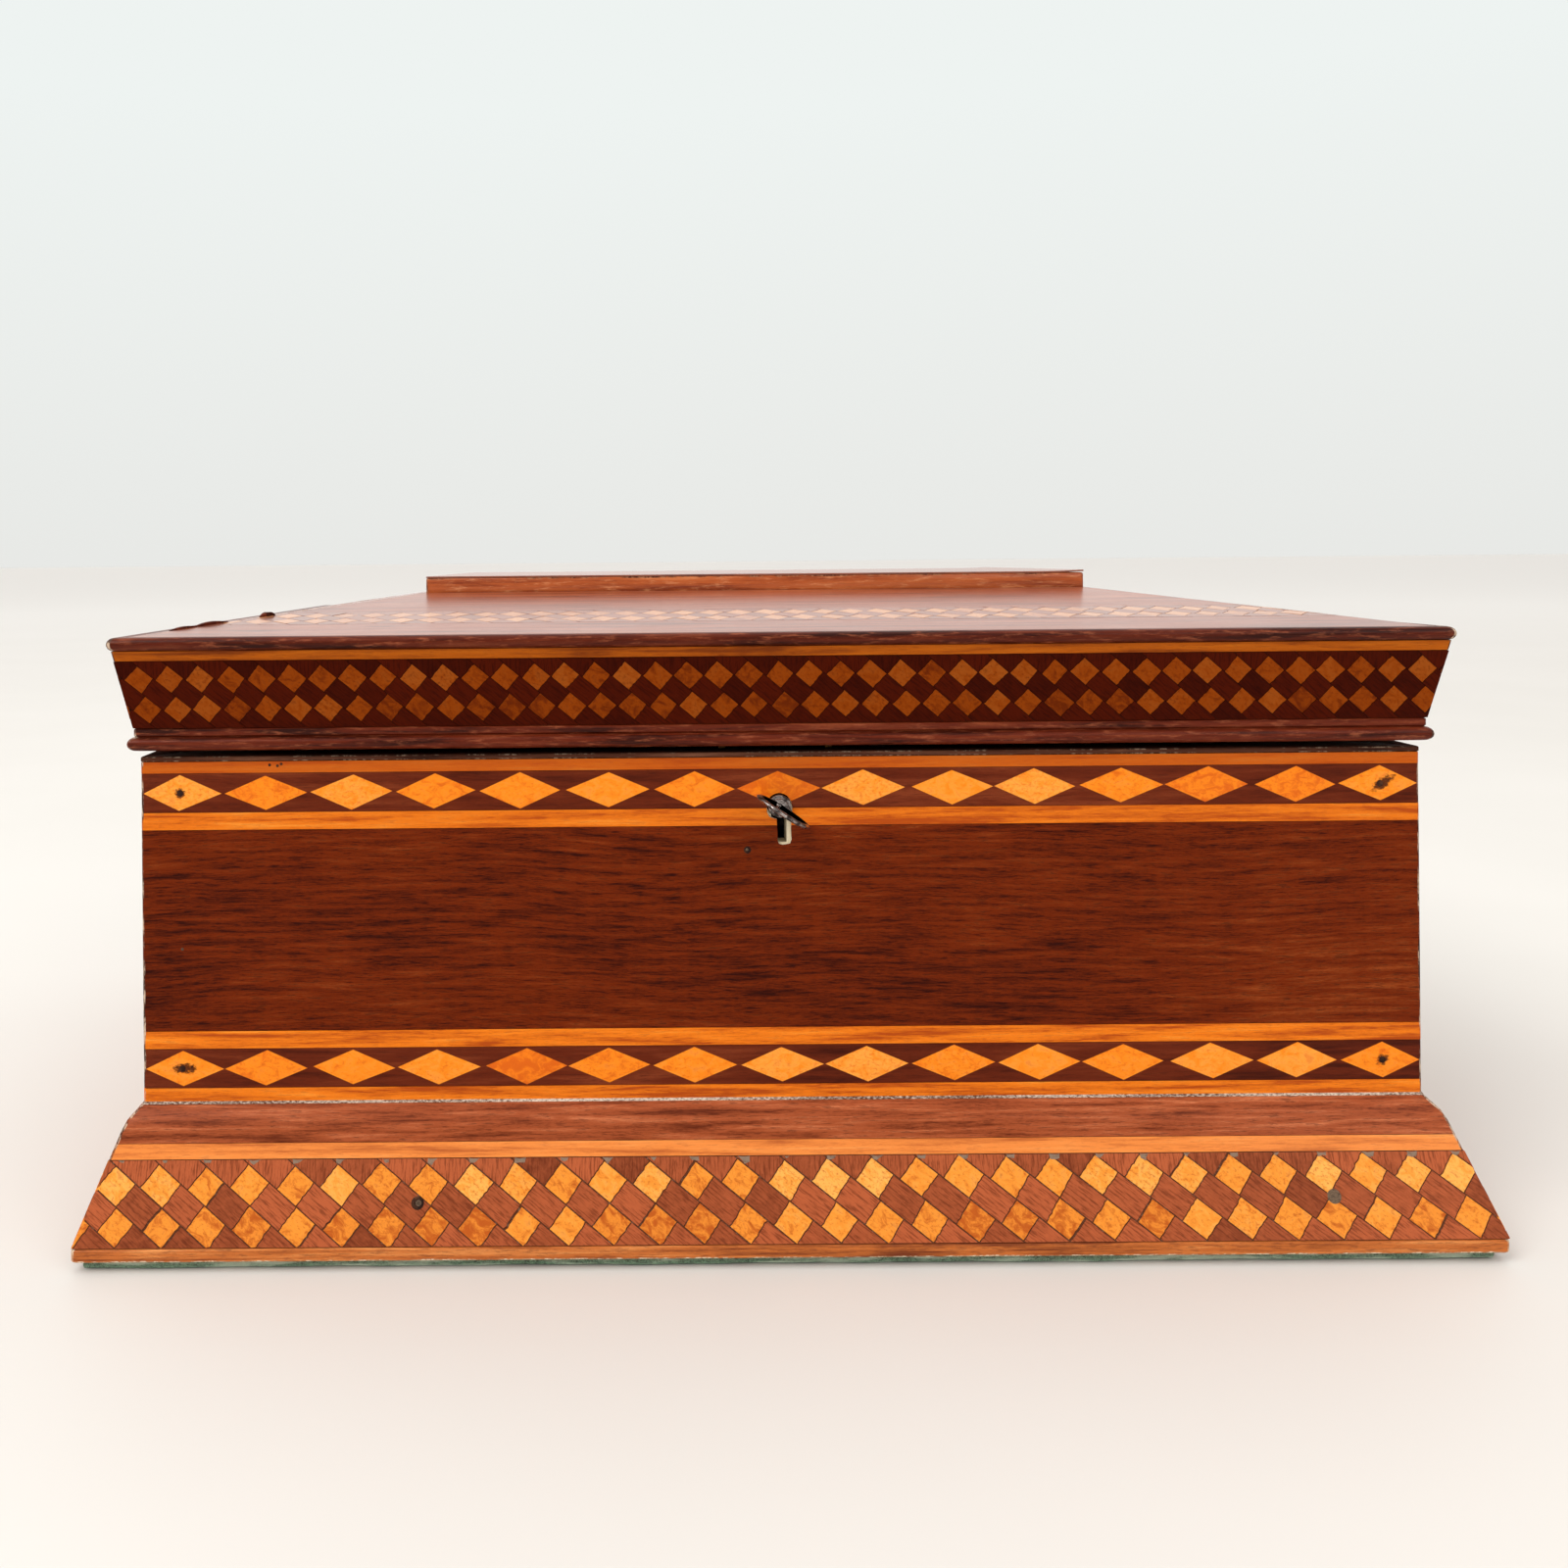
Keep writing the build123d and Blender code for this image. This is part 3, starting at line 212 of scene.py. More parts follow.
def run(side, profile, rounding, step=12.0, tint=(0.5, 0.5, 0.0, 0.0), worn=()):
    """One side's moulding: a closed profile of (flare, height) points carried along the side.
    A point at flare f keeps f from the body's face, and turns each corner on an arc of radius
    r about a centre r inside it, as far as the mitre. The outer side of the profile goes up.
    The corner arcs and the worn points of the profile are near an edge."""
    flare, height = np.asarray(profile, float).T
    arc = np.radians(np.linspace(45, 0, 5))
    near = 1 - np.array([2.0, 7.0]) / HALF_RUN[side]
    inner = np.linspace(-near[1], near[1], int(2 * HALF_RUN[side] / step))[1:-1]
    middle = np.concatenate([-near, inner, near[::-1]])
    angle = np.concatenate([-arc, np.zeros(len(middle)), arc[::-1]])[:, None]
    place = np.concatenate([np.full(5, -1.0), middle, np.full(5, 1.0)])[:, None]
    ending = [1, 1, 1, 0.9, 0.6, 0.15]
    nearness = np.concatenate([ending, np.zeros(len(middle) - 2), ending[::-1]])
    along = place * (HALF_RUN[side] + flare - rounding) + rounding * np.sin(angle)
    out = REACH[side] + flare - rounding + rounding * np.cos(angle)
    along[[0, -1]] += [[half_seam], [-half_seam]]
    points = placed(side, along, out, height[None, :])
    stations, corners = along.shape
    index = np.arange(stations * corners).reshape(stations, corners)
    faces = grid_faces(index, closed=-1)
    outline = np.hypot(np.diff(flare, append=flare[0]), np.diff(height, append=height[0]))
    across = np.concatenate([[0.0], np.cumsum(outline)])
    lengthwise = along.ravel() + 1000.0 * SIDES.index(side)
    u = lengthwise[faces]
    v = np.tile(np.stack([across[:-1], across[:-1], across[1:], across[1:]], -1), (stations - 1, 1))
    wear = np.zeros(corners)
    wear[list(worn)] = 1.0
    edge = np.maximum(nearness[:, None], wear[None, :]).ravel()[faces]
    shade = np.broadcast_to(np.asarray(tint, float), edge.shape + (4,)).copy()
    shade[..., 3] = np.maximum(edge, tint[3])
    grid = Patch(points, faces, np.stack([u, v], -1), shade)
    ends = np.array([index[0], index[-1, ::-1]])
    end_grain = np.stack([flare, height], -1)
    caps = Patch(points, ends, np.stack([end_grain, end_grain[::-1]]), tint)
    return [grid, caps]


def ring(profile, rounding, step=12.0, worn=(), dim=0.0):
    """A profile run along the four sides, each side with its own tone. No two rings share their grain."""
    patches = []
    start = seeded.uniform(0, 400)
    for side in SIDES:
        # dim is a share of painted shade, the same on each side
        tint = (*seeded.uniform(0.3, 0.7, 2), dim, 0.0)
        patches.extend(run(side, profile, rounding, step, tint, worn))
    for patch in patches:
        patch.grain += start
    return patches


def on_face(face, distance, lift):
    """(flare, height) at a distance up a face and a lift above it. A face is its (flare, height)
    at its low edge and at its high edge."""
    low, high = face
    rise = np.subtract(high, low) / np.hypot(*np.subtract(high, low))
    return low[0] + rise[0] * distance + rise[1] * lift, low[1] + rise[1] * distance - rise[0] * lift


def strip(face, start, end, lift=0.0):
    """Profile of a veneer strip let into a face, a hair narrower at its top."""
    return [
        on_face(face, start + 0.05, lift),
        on_face(face, end - 0.05, lift),
        on_face(face, end, -veneer),
        on_face(face, start, -veneer),
    ]


def inlaid(side, face, across, along, lift):
    """Points on a side's face: distances up it from its low edge, along it, and above it."""
    flare, height = on_face(face, across, lift)
    return placed(side, along, REACH[side] + flare, height)


def chequer(side, face, start, end, square, turn, pitch, row_gap, row_shift,
            gap, sag, jag, dull, open_joints):
    """One side's chequer: slanted strips, each of a light square, a dark oblong and another
    light square between two dark ends, cut off by the band's edges and the mitres.
    A strip runs along s, down to the right at the turn, and lies between two values of t. A
    piece is the room between a lower and an upper s, over nine values of t. The s at which it
    is cut off grows evenly with t. Cuts lean and are jagged, the upper row sinks by its sag at
    the left, the lower row is dull, some joints are open, and a gap lies round each piece."""
    turn = np.radians(turn)
    cos, sin = np.cos(turn), np.sin(turn)
    half = HALF_RUN[side]
    count = int(half / pitch) + 4
    upper = (np.arange(-count, count + 1) * pitch)[:, None, None]
    middle = (start + end) / 2
    v_upper = middle + row_gap / 2 - sag * np.clip(0.5 - upper / half, 0, 1)
    v_lower = middle - row_gap / 2
    strips = len(upper)
    t_middle = upper * sin + v_upper * cos
    is_open = seeded.random((strips, 1, 1)) < open_joints
    half_strip = pitch * sin / 2 - gap - is_open * seeded.uniform(0.04, 0.18, (strips, 1, 1))
    t = t_middle + half_strip * np.linspace(-1, 1, 9)[None, None, :]
    s_upper = upper * cos - v_upper * sin
    s_lower = (upper + pitch + row_shift) * cos - v_lower * sin
    far = 3.0 * (end - start)
    sizes = square / 2 + seeded.normal(0, 0.035 * square, (strips, 4, 1))
    cuts = np.concatenate([s_upper - far, s_upper - sizes[:, :1], s_upper + sizes[:, 1:2],
                           s_lower - sizes[:, 2:3], s_lower + sizes[:, 3:], s_lower + far], axis=1)
    lean = seeded.normal(0, 0.035, (strips, 6, 1))
    edges = cuts + lean * (t - t_middle) + seeded.normal(0, jag, (strips, 6, 9))
    is_open = seeded.random((strips, 5, 1)) < open_joints
    s_from = edges[:, :5] + gap + is_open * seeded.uniform(0.1, 0.35, (strips, 5, 1))
    s_to = edges[:, 1:] - gap
    # s at the band's high and low edge, and at the mitres, whose along grows with v
    v_high, v_low = end - gap, start + gap
    low, high = face
    spread = (high[0] - low[0]) / np.hypot(*np.subtract(high, low))
    reach = half + low[0] - 0.12
    t_min = v_low * cos - (reach + spread * v_low) * sin
    t_max = v_high * cos + (reach + spread * v_high) * sin
    t = np.clip(t, t_min, t_max)
    left = (-reach - t * (spread * cos + sin)) / (cos - spread * sin)
    right = (reach + t * (spread * cos - sin)) / (cos + spread * sin)
    s_min = np.maximum((t * cos - v_high) / sin, left)
    s_max = np.minimum((t * cos - v_low) / sin, right)
    s_from = np.clip(s_from, s_min, np.maximum(s_min, s_max))
    s_to = np.clip(s_to, s_min, np.maximum(s_min, s_max))
    t = np.broadcast_to(t, s_from.shape)
    keep = (s_to - s_from).mean(axis=2) > 0.05 * square
    row = np.broadcast_to(np.arange(5)[None, :], keep.shape)[keep]
    dark = np.where(row % 2 == 0, 1.0, 0.0)
    s_from, s_to, t = s_from[keep], s_to[keep], t[keep]
    # each piece is a closed slab: two rows of points on top, the same two below
    n = len(t)
    s = np.stack([s_from, s_to], axis=1)
    t = np.stack([t, t], axis=1)
    tilt = seeded.normal(0, 0.006, (2, n, 1, 1))
    lift = seeded.uniform(0.0, 0.03, (n, 1, 1)) + tilt[0] * (s - s.mean((1, 2), keepdims=True))
    lift = np.clip(lift + tilt[1] * (t - t.mean((1, 2), keepdims=True)), -0.04, 0.05)
    u, v = s * cos + t * sin, t * cos - s * sin
    top = inlaid(side, face, v, u, lift)
    foot = inlaid(side, face, v, u, -inlay_depth)
    points = np.stack([top, foot], axis=1)
    index = np.arange(points[..., 0].size).reshape(n, 2, 2, 9)
    around = index[:, [0, 0, 1, 1], [0, 1, 1, 0]]
    caps = [around[:, None, ::-1, 0], around[:, None, :, -1]]
    faces = np.concatenate([grid_faces(around, closed=-2), *caps], axis=1)
    shift = seeded.uniform(0, 500, (n, 1, 1, 2))
    fibre = np.where((row == 0)[:, None, None, None], np.stack([v, u], -1), np.stack([s, t], -1))
    grain = np.broadcast_to(fibre[:, None], (n, 2, 2, 9, 2)).reshape(-1, 2)
    tone = seeded.uniform(0, 1, n) * (1 - dull) + np.where(row == 3, 0.0, dull)
    tint = np.stack([tone, seeded.uniform(0, 1, n), dark, np.zeros(n)], -1)[:, None, None]
    tint = np.broadcast_to(tint, faces.shape + (4,)).reshape(-1, 4, 4)
    return [Patch(points, faces.reshape(-1, 4), grain[faces] + shift, tint)]


def chequer_band(face, start, end, pattern, rounding=0.4):
    """The banding round the box: a dark glue bed a little under the face, with its pieces on it."""
    patches = []
    bed = strip(face, start, end, -0.12)
    for side in SIDES:
        patches.extend(run(side, bed, rounding, tint=(0.5 * pattern["dull"], 0.5, 1.0, 1.0)))
        patches.extend(chequer(side, face, start, end, **pattern))
    return patches


def glue_crumbs(face, across, pitch):
    """Lumps of grey glue under the string, above each light square: each is a low dome of
    eight corners about its middle, uneven in its reach."""
    patches = []
    turning_by = np.linspace(0, 2 * np.pi, 8, endpoint=False)
    for side in SIDES:
        each_way = int((HALF_RUN[side] + on_face(face, across, 0)[0] - 2) / pitch)
        places = np.arange(-each_way, each_way + 1) * pitch + 0.4
        n = len(places)
        reach = seeded.uniform(0.7, 1.6, (n, 1)) * seeded.uniform(0.6, 1.2, (n, 8))
        along = places[:, None] + seeded.normal(0, 0.25, (n, 1)) + reach * np.cos(turning_by)
        up = across - np.abs(reach * np.sin(turning_by)) * np.where(np.sin(turning_by) < 0, 1.0, 0.15)
        top = inlaid(side, face, across - 0.3, places[:, None], 0.1)
        low_rings = [inlaid(side, face, up, along, lift) for lift in (0.02, -0.3)]
        points = np.concatenate([top, *low_rings], axis=1)
        index = np.arange(n * 17).reshape(n, 17)
        rim, foot = index[:, 1:9], index[:, 9:]
        fan = np.stack([np.broadcast_to(index[:, :1], rim.shape), rim, np.roll(rim, -1, axis=1)], -1)
        wall = grid_faces(np.stack([rim, foot], axis=1), closed=-1)
        flat = points.reshape(-1, 3)[:, [X, Z]]
        for faces in (fan.reshape(-1, 3), wall.reshape(-1, 4), foot[:, ::-1]):
            patches.append(Patch(points, faces, flat[faces], (0.9, 0.5, 1.0, 1.0)))
    return patches


def lozenges(z_middle):
    """A band's lozenges: four corners about each place, a hair proud, with a dark glued rim.
    Each keeps to its own half of the way to its neighbours."""
    patches = []
    for side in SIDES:
        half = HALF_RUN[side]
        each_way = round((half - lozenge_end_inset) / lozenge_pitch)
        place = np.linspace(lozenge_end_inset - half, half - lozenge_end_inset, 2 * each_way + 1)
        n = len(place)
        place[1:-1] += seeded.uniform(-0.45, 0.45, n - 2)
        corners = np.array([(-lozenge_half_length, 0), (0, -lozenge_half_height),
                            (lozenge_half_length, 0), (0, lozenge_half_height)])
        loop = corners[None] + seeded.normal(0, 1, (n, 4, 2)) * (0.22, 0.12)
        loop[:, :, 1] = np.clip(loop[:, :, 1], 0.15 - band_height / 2, band_height / 2 - 0.15)
        halfway = (place[1:] + place[:-1]) / 2
        room_left = np.concatenate([[corner_margin - half], halfway]) - place + 0.02
        room_right = np.concatenate([halfway, [half - corner_margin]]) - place - 0.02
        loop[:, :, 0] = np.clip(loop[:, :, 0], room_left[:, None], room_right[:, None])
        inner = loop * (0.975, 0.955)
        shape = np.stack([inner, loop, loop], axis=1)
        lift = np.array([0.02, 0.0, -inlay_depth])[None, :, None] + seeded.uniform(0, 0.02, (n, 1, 1))
        along = place[:, None, None] + shape[..., 0]
        points = placed(side, along, REACH[side] + lift, z_middle + shape[..., 1])
        index = np.arange(n * 12).reshape(n, 3, 4)
        faces = np.concatenate([index[:, :1], grid_faces(index, closed=-1), index[:, 2:, ::-1]], axis=1)
        near_edge = np.array([0.0, 1.0, 1.0])[(faces % 12) // 4]
        tone = np.broadcast_to(seeded.uniform(0, 1, (n, 1, 1, 2)), faces.shape + (2,))
        tint = np.concatenate([tone, np.zeros(faces.shape + (1,)), near_edge[..., None]], -1)
        flat = shape.reshape(-1, 2)[faces] + seeded.uniform(0, 500, (n, 1, 1, 2))
        patches.append(Patch(points, faces.reshape(-1, 4), flat, tint.reshape(-1, 4, 4)))
    return patches


def turning(side, face, along, across, profile, count=16):
    """A small round piece standing out from a side's face: (radius, lift) points turned about
    its middle, which lies at a distance along the side and up the face."""
    radius, lift = np.asarray(profile, float).T
    angle = np.linspace(0, 2 * np.pi, count, endpoint=False)[:, None]
    flat = np.stack([along + radius * np.cos(angle), across + radius * np.sin(angle)], -1)
    points = inlaid(side, face, flat[..., 1], flat[..., 0], lift[None, :])
    return turned(points, flat.reshape(-1, 2))


def turned(points, flat):
    """The patches of a closed form, from its points by angle and by profile, and their grain."""
    index = np.arange(len(flat)).reshape(points.shape[:2])
    every = (grid_faces(index, closed=-2), index[None, :, -1], index[None, ::-1, 0])
    return [Patch(points, faces, flat[faces]) for faces in every]


# Finishes


def paint(red, green, blue):
    """A colour as it is seen on a screen, 0 to 255, turned to light values."""
    seen = np.array([red, green, blue]) / 255
    return (*np.where(seen <= 0.04045, seen / 12.92, ((seen + 0.055) / 1.055) ** 2.4), 1.0)


class Value:
    """A shader socket that takes part in sums, and starts patterns and mixtures."""

    def __init__(self, nodes, socket):
        self.nodes = nodes
        self.socket = socket

    def sum(self, operation, *terms):
        return self.nodes.node("Math", {"operation": operation}, dict(enumerate(terms)))

    def __add__(self, other):
        return self.sum("ADD", self, other)

    def __sub__(self, other):
        return self.sum("SUBTRACT", self, other)

    def __rsub__(self, other):
        return self.sum("SUBTRACT", other, self)

    def __mul__(self, other):
        return self.sum("MULTIPLY", self, other)

    __radd__ = __add__
    __rmul__ = __mul__

    def vector(self, operation, other=(0, 0, 0), output=0):
        return self.nodes.node("VectorMath", {"operation": operation}, {0: self, 1: other}, output)

    def noise(self, stretch, detail=4.0, roughness=0.55, distortion=0.0, shift=(0, 0, 0)):
        """Noise over this place, stretched and then shifted."""
        place = self.vector("MULTIPLY", stretch).vector("ADD", shift)
        inputs = {"Vector": place, "Scale": 1.0, "Detail": detail}
        inputs.update({"Roughness": roughness, "Distortion": distortion})
        return self.nodes.node("TexNoise", {"noise_dimensions": "3D"}, inputs)

    def between(self, low, high):
        """0 below low, 1 above high, and smooth between."""
        inputs = {"Value": self, "From Min": low, "From Max": high}
        return self.nodes.node("MapRange", {"interpolation_type": "SMOOTHSTEP"}, inputs)

    def mix(self, *colours):
        """From one colour to another. Each is a value, or red, green and blue as seen."""
        first, second = (colour if isinstance(colour, Value) else paint(*colour) for colour in colours)
        return self.nodes.node("Mix", {"data_type": "RGBA"}, {0: self, 6: first, 7: second}, output=2)


class Nodes:
    """A node tree. Its node method adds any node, and gives the value of one of its outputs."""

    def __init__(self, tree):
        self.tree = tree

    def node(self, kind, settings=None, inputs=None, output=0):
        made = self.tree.nodes.new("ShaderNode" + kind)
        for setting, value in (settings or {}).items():
            setattr(made, setting, value)
        self.connect(made, inputs or {})
        return Value(self, made.outputs[output])

    def connect(self, made, inputs):
        for key, value in inputs.items():
            if isinstance(value, Value):
                self.tree.links.new(value.socket, made.inputs[key])
            else:
                made.inputs[key].default_value = value


class Finish(Nodes):
    """A material, with what its patterns start from."""

    def __init__(self, name, **fixed):
        self.material = bpy.data.materials.new(name)
        self.material.use_nodes = True
        super().__init__(self.material.node_tree)
        self.drive(**fixed)

    def put_on(self, mesh):
        mesh.materials.clear()
        mesh.materials.append(self.material)

    def drive(self, **inputs):
        """Sets or links sockets of the material's shader."""
        shader = self.tree.nodes["Principled BSDF"]
        self.connect(shader, {key.replace("_", " "): value for key, value in inputs.items()})

    def grain(self):
        return self.node("UVMap", {"uv_map": "grain"})

    def place(self):
        return self.node("TexCoord", output="Object")

    def tint(self):
        """Tone, figure, darkness and nearness to an edge, from the piece's tint."""
        attribute = self.node("Attribute", {"attribute_name": "tint"}).socket.node
        parts = self.node("SeparateColor", inputs={0: Value(self, attribute.outputs["Color"])}).socket.node
        return [Value(self, socket) for socket in (*parts.outputs[:3], attribute.outputs["Alpha"])]

    def bump(self, height, strength, distance=0.0004):
        return self.node("Bump", inputs={"Height": height, "Strength": strength, "Distance": distance})


def wood(name, deep, plain, bright, streak, pore, figure=0.5, fibre=0.2, flame=0.0, coat=0.1, rough=0.38,
         gloss=0.12, haze=0.14, rubbed=None, worn_and_highlight=((56, 34, 26), (200, 174, 150))):
    """Polished veneer. Long streaks follow the grain's UV, short pores lie along it, broad
    clouds change its tone, and the polish is uneven. Dim wood carries painted shade and is nearly its deep
    tone. At edges the polish is gone in patches and the wood is dark, with pale flecks that are partly worn
    wood and partly a painted highlight on the rounded corner. Rubbed wood shows through in specks, and flame
    is the figure's sweep."""
    finish = Finish(name, Coat_Roughness=haze, Specular_IOR_Level=gloss)
    grain, place = finish.grain(), finish.place()
    tone, _, dim, edge = finish.tint()
    if flame:
        sweep = grain.noise((0.006, 0.012, 0), 2.0, shift=(3, 3, 0))
        grain = grain.vector("ADD", finish.node("CombineXYZ", inputs={"Y": (sweep - 0.5) * flame}))
    streaks = grain.noise((*streak, 0), 6.0, 0.62, 0.3)
    clouds = grain.noise((0.010, 0.028, 0), 3.0, shift=(7, 3, 0))
    fibres = grain.noise((0.22, 2.4, 0), 4.0, 0.7, shift=(1, 9, 0))
    shade = streaks * figure + clouds * (1 - figure - fibre) + fibres * fibre + tone * 0.14 - 0.07
    colour = shade.between(0.39, 0.51).mix(deep, plain)
    colour = shade.between(0.50, 0.63).mix(colour, bright)
    pores = fibres.between(0.51, 0.62)
    colour = (pores * pore).mix(colour, deep)
    # Painted shade: dim wood is drawn towards its deep tone
    colour = (dim * 0.7).mix(colour, deep)
    if rubbed:
        patches = grain.noise((0.16, 0.9, 0), 5.0, 0.7, shift=(4, 4, 0))
        colour = (patches.between(0.50, 0.72) * 0.7).mix(colour, rubbed)
    flecks = place.noise((900, 900, 260), 4.0, 0.65)
    wearing = place.noise((140, 140, 90), 3.0, 0.6)
    gone = (edge + wearing * 1.2 + flecks * 0.6).between(1.72, 1.98)
    # Where the polish is gone, dark worn wood shows with pale flecks; the pale flecks are also a painted
    # highlight on the rounded corners
    colour = gone.mix(colour, flecks.between(0.46, 0.60).mix(*worn_and_highlight))
    polish = grain.noise((0.05, 0.08, 0), 3.0, shift=(2, 8, 0))
    finish.drive(Base_Color=colour, Roughness=polish * 0.22 + (rough - 0.11) + pores * 0.06 + gone * 0.15)
    finish.drive(Coat_Weight=(1.0 - gone) * coat, Normal=finish.bump(fibres * 0.5 + streaks * 0.5, 0.12))
    return finish


def inlay_wood(name, deep, plain, bright, dark_deep, dark_plain, grime, crumb,
               coat=0.08, rough=0.4, gloss=0.12):
    """Small inlaid pieces: each has its own tone from its tint, light or dark wood by the
    tint's darkness, burr-like mottling, fine fibres, grime at its glued rim and grey crumbs
    of glue where the tone of a rim is high."""
    finish = Finish(name, Coat_Roughness=0.2, Specular_IOR_Level=gloss)
    grain = finish.grain()
    tone, figure, dark, edge = finish.tint()
    mottle = grain.noise((0.34, 0.48, 0), 5.0, 0.65, 0.8)
    fibres = grain.noise((0.20, 2.2, 0), 3.0, 0.7, shift=(3, 1, 0))
    specks = grain.noise((1.1, 1.5, 0), 3.0, 0.6, shift=(9, 5, 0))
    shade = mottle * 0.9 + tone * 0.36 - 0.13
    light = shade.between(0.24, 0.50).mix(deep, plain)
    light = shade.between(0.46, 0.78).mix(light, bright)
    light = ((specks + figure * 0.08).between(0.54, 0.76) * 0.6).mix(light, deep)
    light = (mottle.between(0.54, 0.70) * 0.5).mix(light, deep)
    dim = (mottle * 0.5 + figure * 0.4).between(-0.05, 0.65).mix(dark_deep, dark_plain)
    dim = (fibres.between(0.47, 0.62) * 0.6).mix(dim, dark_deep)
    glue = (specks + tone * 0.5).between(0.55, 1.0).mix(grime, crumb)
    colour = (edge.between(0.15, 0.85) * 0.85).mix(dark.mix(light, dim), glue)
    finish.drive(Base_Color=colour, Roughness=mottle * 0.2 + (rough - 0.1), Coat_Weight=(1.0 - edge) * coat)
    finish.drive(Normal=finish.bump(fibres * 0.5 + specks * 0.3, 0.12))
    return finish


def raw_wood(name, dark, light, pale=None):
    """Unpolished wood, grained along X. Where it is newly exposed, near the keyhole, it is pale."""
    finish = Finish(name, Specular_IOR_Level=0.3)
    place = finish.place()
    rings = place.noise((20, 350, 350), 5.0, 0.6, 0.6)
    fibres = place.noise((60, 2100, 2100), 3.0)
    colour = (rings * 0.7 + fibres * 0.3).between(0.3, 0.7).mix(dark, light)
    if pale:
        away = place.vector("DISTANCE", (0, -body_half_y * MM, z_key * MM), output="Value")
        colour = away.between(0.014, 0.020).mix(pale, colour)
    finish.drive(Base_Color=colour, Roughness=fibres * 0.2 + 0.62, Normal=finish.bump(fibres, 0.25))
    return finish


def metal(name, clean, stained, rough=0.35, stain=0.5):
    """Old metal: stained in clouds, with fine scratches and dull spots."""
    finish = Finish(name)
    place = finish.place()
    clouds = place.noise((450, 450, 450), 5.0, 0.65)
    marks = place.noise((900, 3600, 3600), 3.0)
    tarnish = clouds.between(0.62 - stain * 0.4, 0.78 - stain * 0.3)
    finish.drive(Base_Color=tarnish.mix(clean, stained), Metallic=1.0 - tarnish * 0.35)
    finish.drive(Roughness=tarnish * 0.3 + marks * 0.15 + (rough - 0.08))
    finish.drive(Normal=finish.bump(marks * 0.4 + clouds, 0.15, 0.0002))
    return finish


def felt(name, deep, plain, pale, shadow):
    """Baize: short matted fibres, worn paler in patches, with painted shadow where it goes in under the wood.
    """
    finish = Finish(name, Roughness=0.95, Specular_IOR_Level=0.15, Sheen_Weight=0.4, Sheen_Roughness=0.6)
    place = finish.place()
    fibres = place.noise((1600, 1600, 1600), 6.0, 0.8, 1.5)
    patches = place.noise((90, 90, 600))
    height = finish.node("SeparateXYZ", inputs={0: place}, output="Z")
    colour = fibres.between(0.38, 0.60).mix(deep, plain)
    colour = (patches.between(0.42, 0.62) * 0.8).mix(colour, pale)
    # Painted shadow: the top of the cloth darkens where it goes in under the plinth
    colour = (height + patches * 0.0012).between(0.0024, 0.0033).mix(colour, shadow)
    finish.drive(Base_Color=colour, Normal=finish.bump(fibres, 0.9, 0.0005))
    return finish


def lining(name, plain, faded):
    """Thin lining paper: faded in clouds, with a slight tooth."""
    finish = Finish(name, Specular_IOR_Level=0.2)
    colour = finish.place().noise((18, 18, 18), 5.0, 0.6).between(0.2, 0.85).mix(plain, faded)
    tooth = finish.place().noise((2200, 2200, 2200), 2.0)
    finish.drive(Base_Color=colour, Roughness=tooth * 0.1 + 0.8, Normal=finish.bump(tooth, 0.3, 0.0001))
    return finish


def crumbled(name, pale, dark):
    """Old glue and filler in a joint: pale crumbs over dirt."""
    finish = Finish(name, Roughness=0.85, Specular_IOR_Level=0.3)
    grain = finish.grain()
    crumbs = grain.noise((1.3, 2.6, 0), 5.0, 0.7)
    lengths = grain.noise((0.012, 0, 0), 2.0)
    colour = (crumbs + lengths * 0.6).between(0.66, 0.96).mix(dark, pale)
    finish.drive(Base_Color=colour, Normal=finish.bump(crumbs, 0.8, 0.0006))
    return finish


def stained(name, rust):
    """A stain in the wood round a nail, thickest at its middle and broken up towards its edge.
    The grain's UV runs from -1 to 1 over it."""
    finish = Finish(name, Base_Color=paint(*rust), Roughness=0.6, Specular_IOR_Level=0.1)
    away = finish.grain().vector("LENGTH", output="Value")
    blotches = finish.place().noise((800, 800, 1400), 5.0, 0.7)
    finish.drive(Alpha=(blotches * 1.2 - away * 0.8).between(0.0, 0.3) * 0.85)
    return finish


field_finish = wood(
    "figured_mahogany", (48, 9, 2), (110, 36, 3), (147, 67, 24), (0.05, 0.7), 0.7,
    figure=0.36, fibre=0.42, flame=12.0, coat=0.02, gloss=0.05)
# The plinth's mahogany is lighter than the fields' as painted top light on its up-facing slope
plinth_lit_finish = wood(
    "plinth_mahogany_lit", (92, 34, 10), (158, 76, 40), (206, 120, 78), (0.03, 0.6), 0.75,
    fibre=0.34, coat=0.05, rough=0.45, gloss=0.08)
moulding_finish = wood(
    "dark_moulding", (46, 12, 5), (98, 34, 15), (142, 68, 38), (0.03, 0.6), 0.4,
    coat=0.06, rough=0.36, gloss=0.08, rubbed=(156, 84, 54))
rim_finish = wood(
    "rim_veneer", (44, 22, 15), (82, 46, 32), (118, 76, 56), (0.03, 0.6), 0.5,
    coat=0.0, rough=0.6, gloss=0.05, worn_and_highlight=((52, 36, 28), (150, 128, 108)))
roof_finish = wood(
    "roof_veneer", (96, 40, 22), (150, 76, 44), (178, 100, 64), (0.02, 0.4), 0.4,
    coat=1.0, rough=0.35, gloss=0.5, haze=0.26, worn_and_highlight=((92, 44, 28), (150, 104, 78)))
panel_finish = wood(
    "panel_mahogany", (128, 52, 24), (184, 92, 44), (214, 126, 72), (0.02, 0.5), 0.35,
    coat=0.3, rough=0.36, rubbed=(222, 150, 102), worn_and_highlight=((86, 40, 24), (168, 112, 78)))
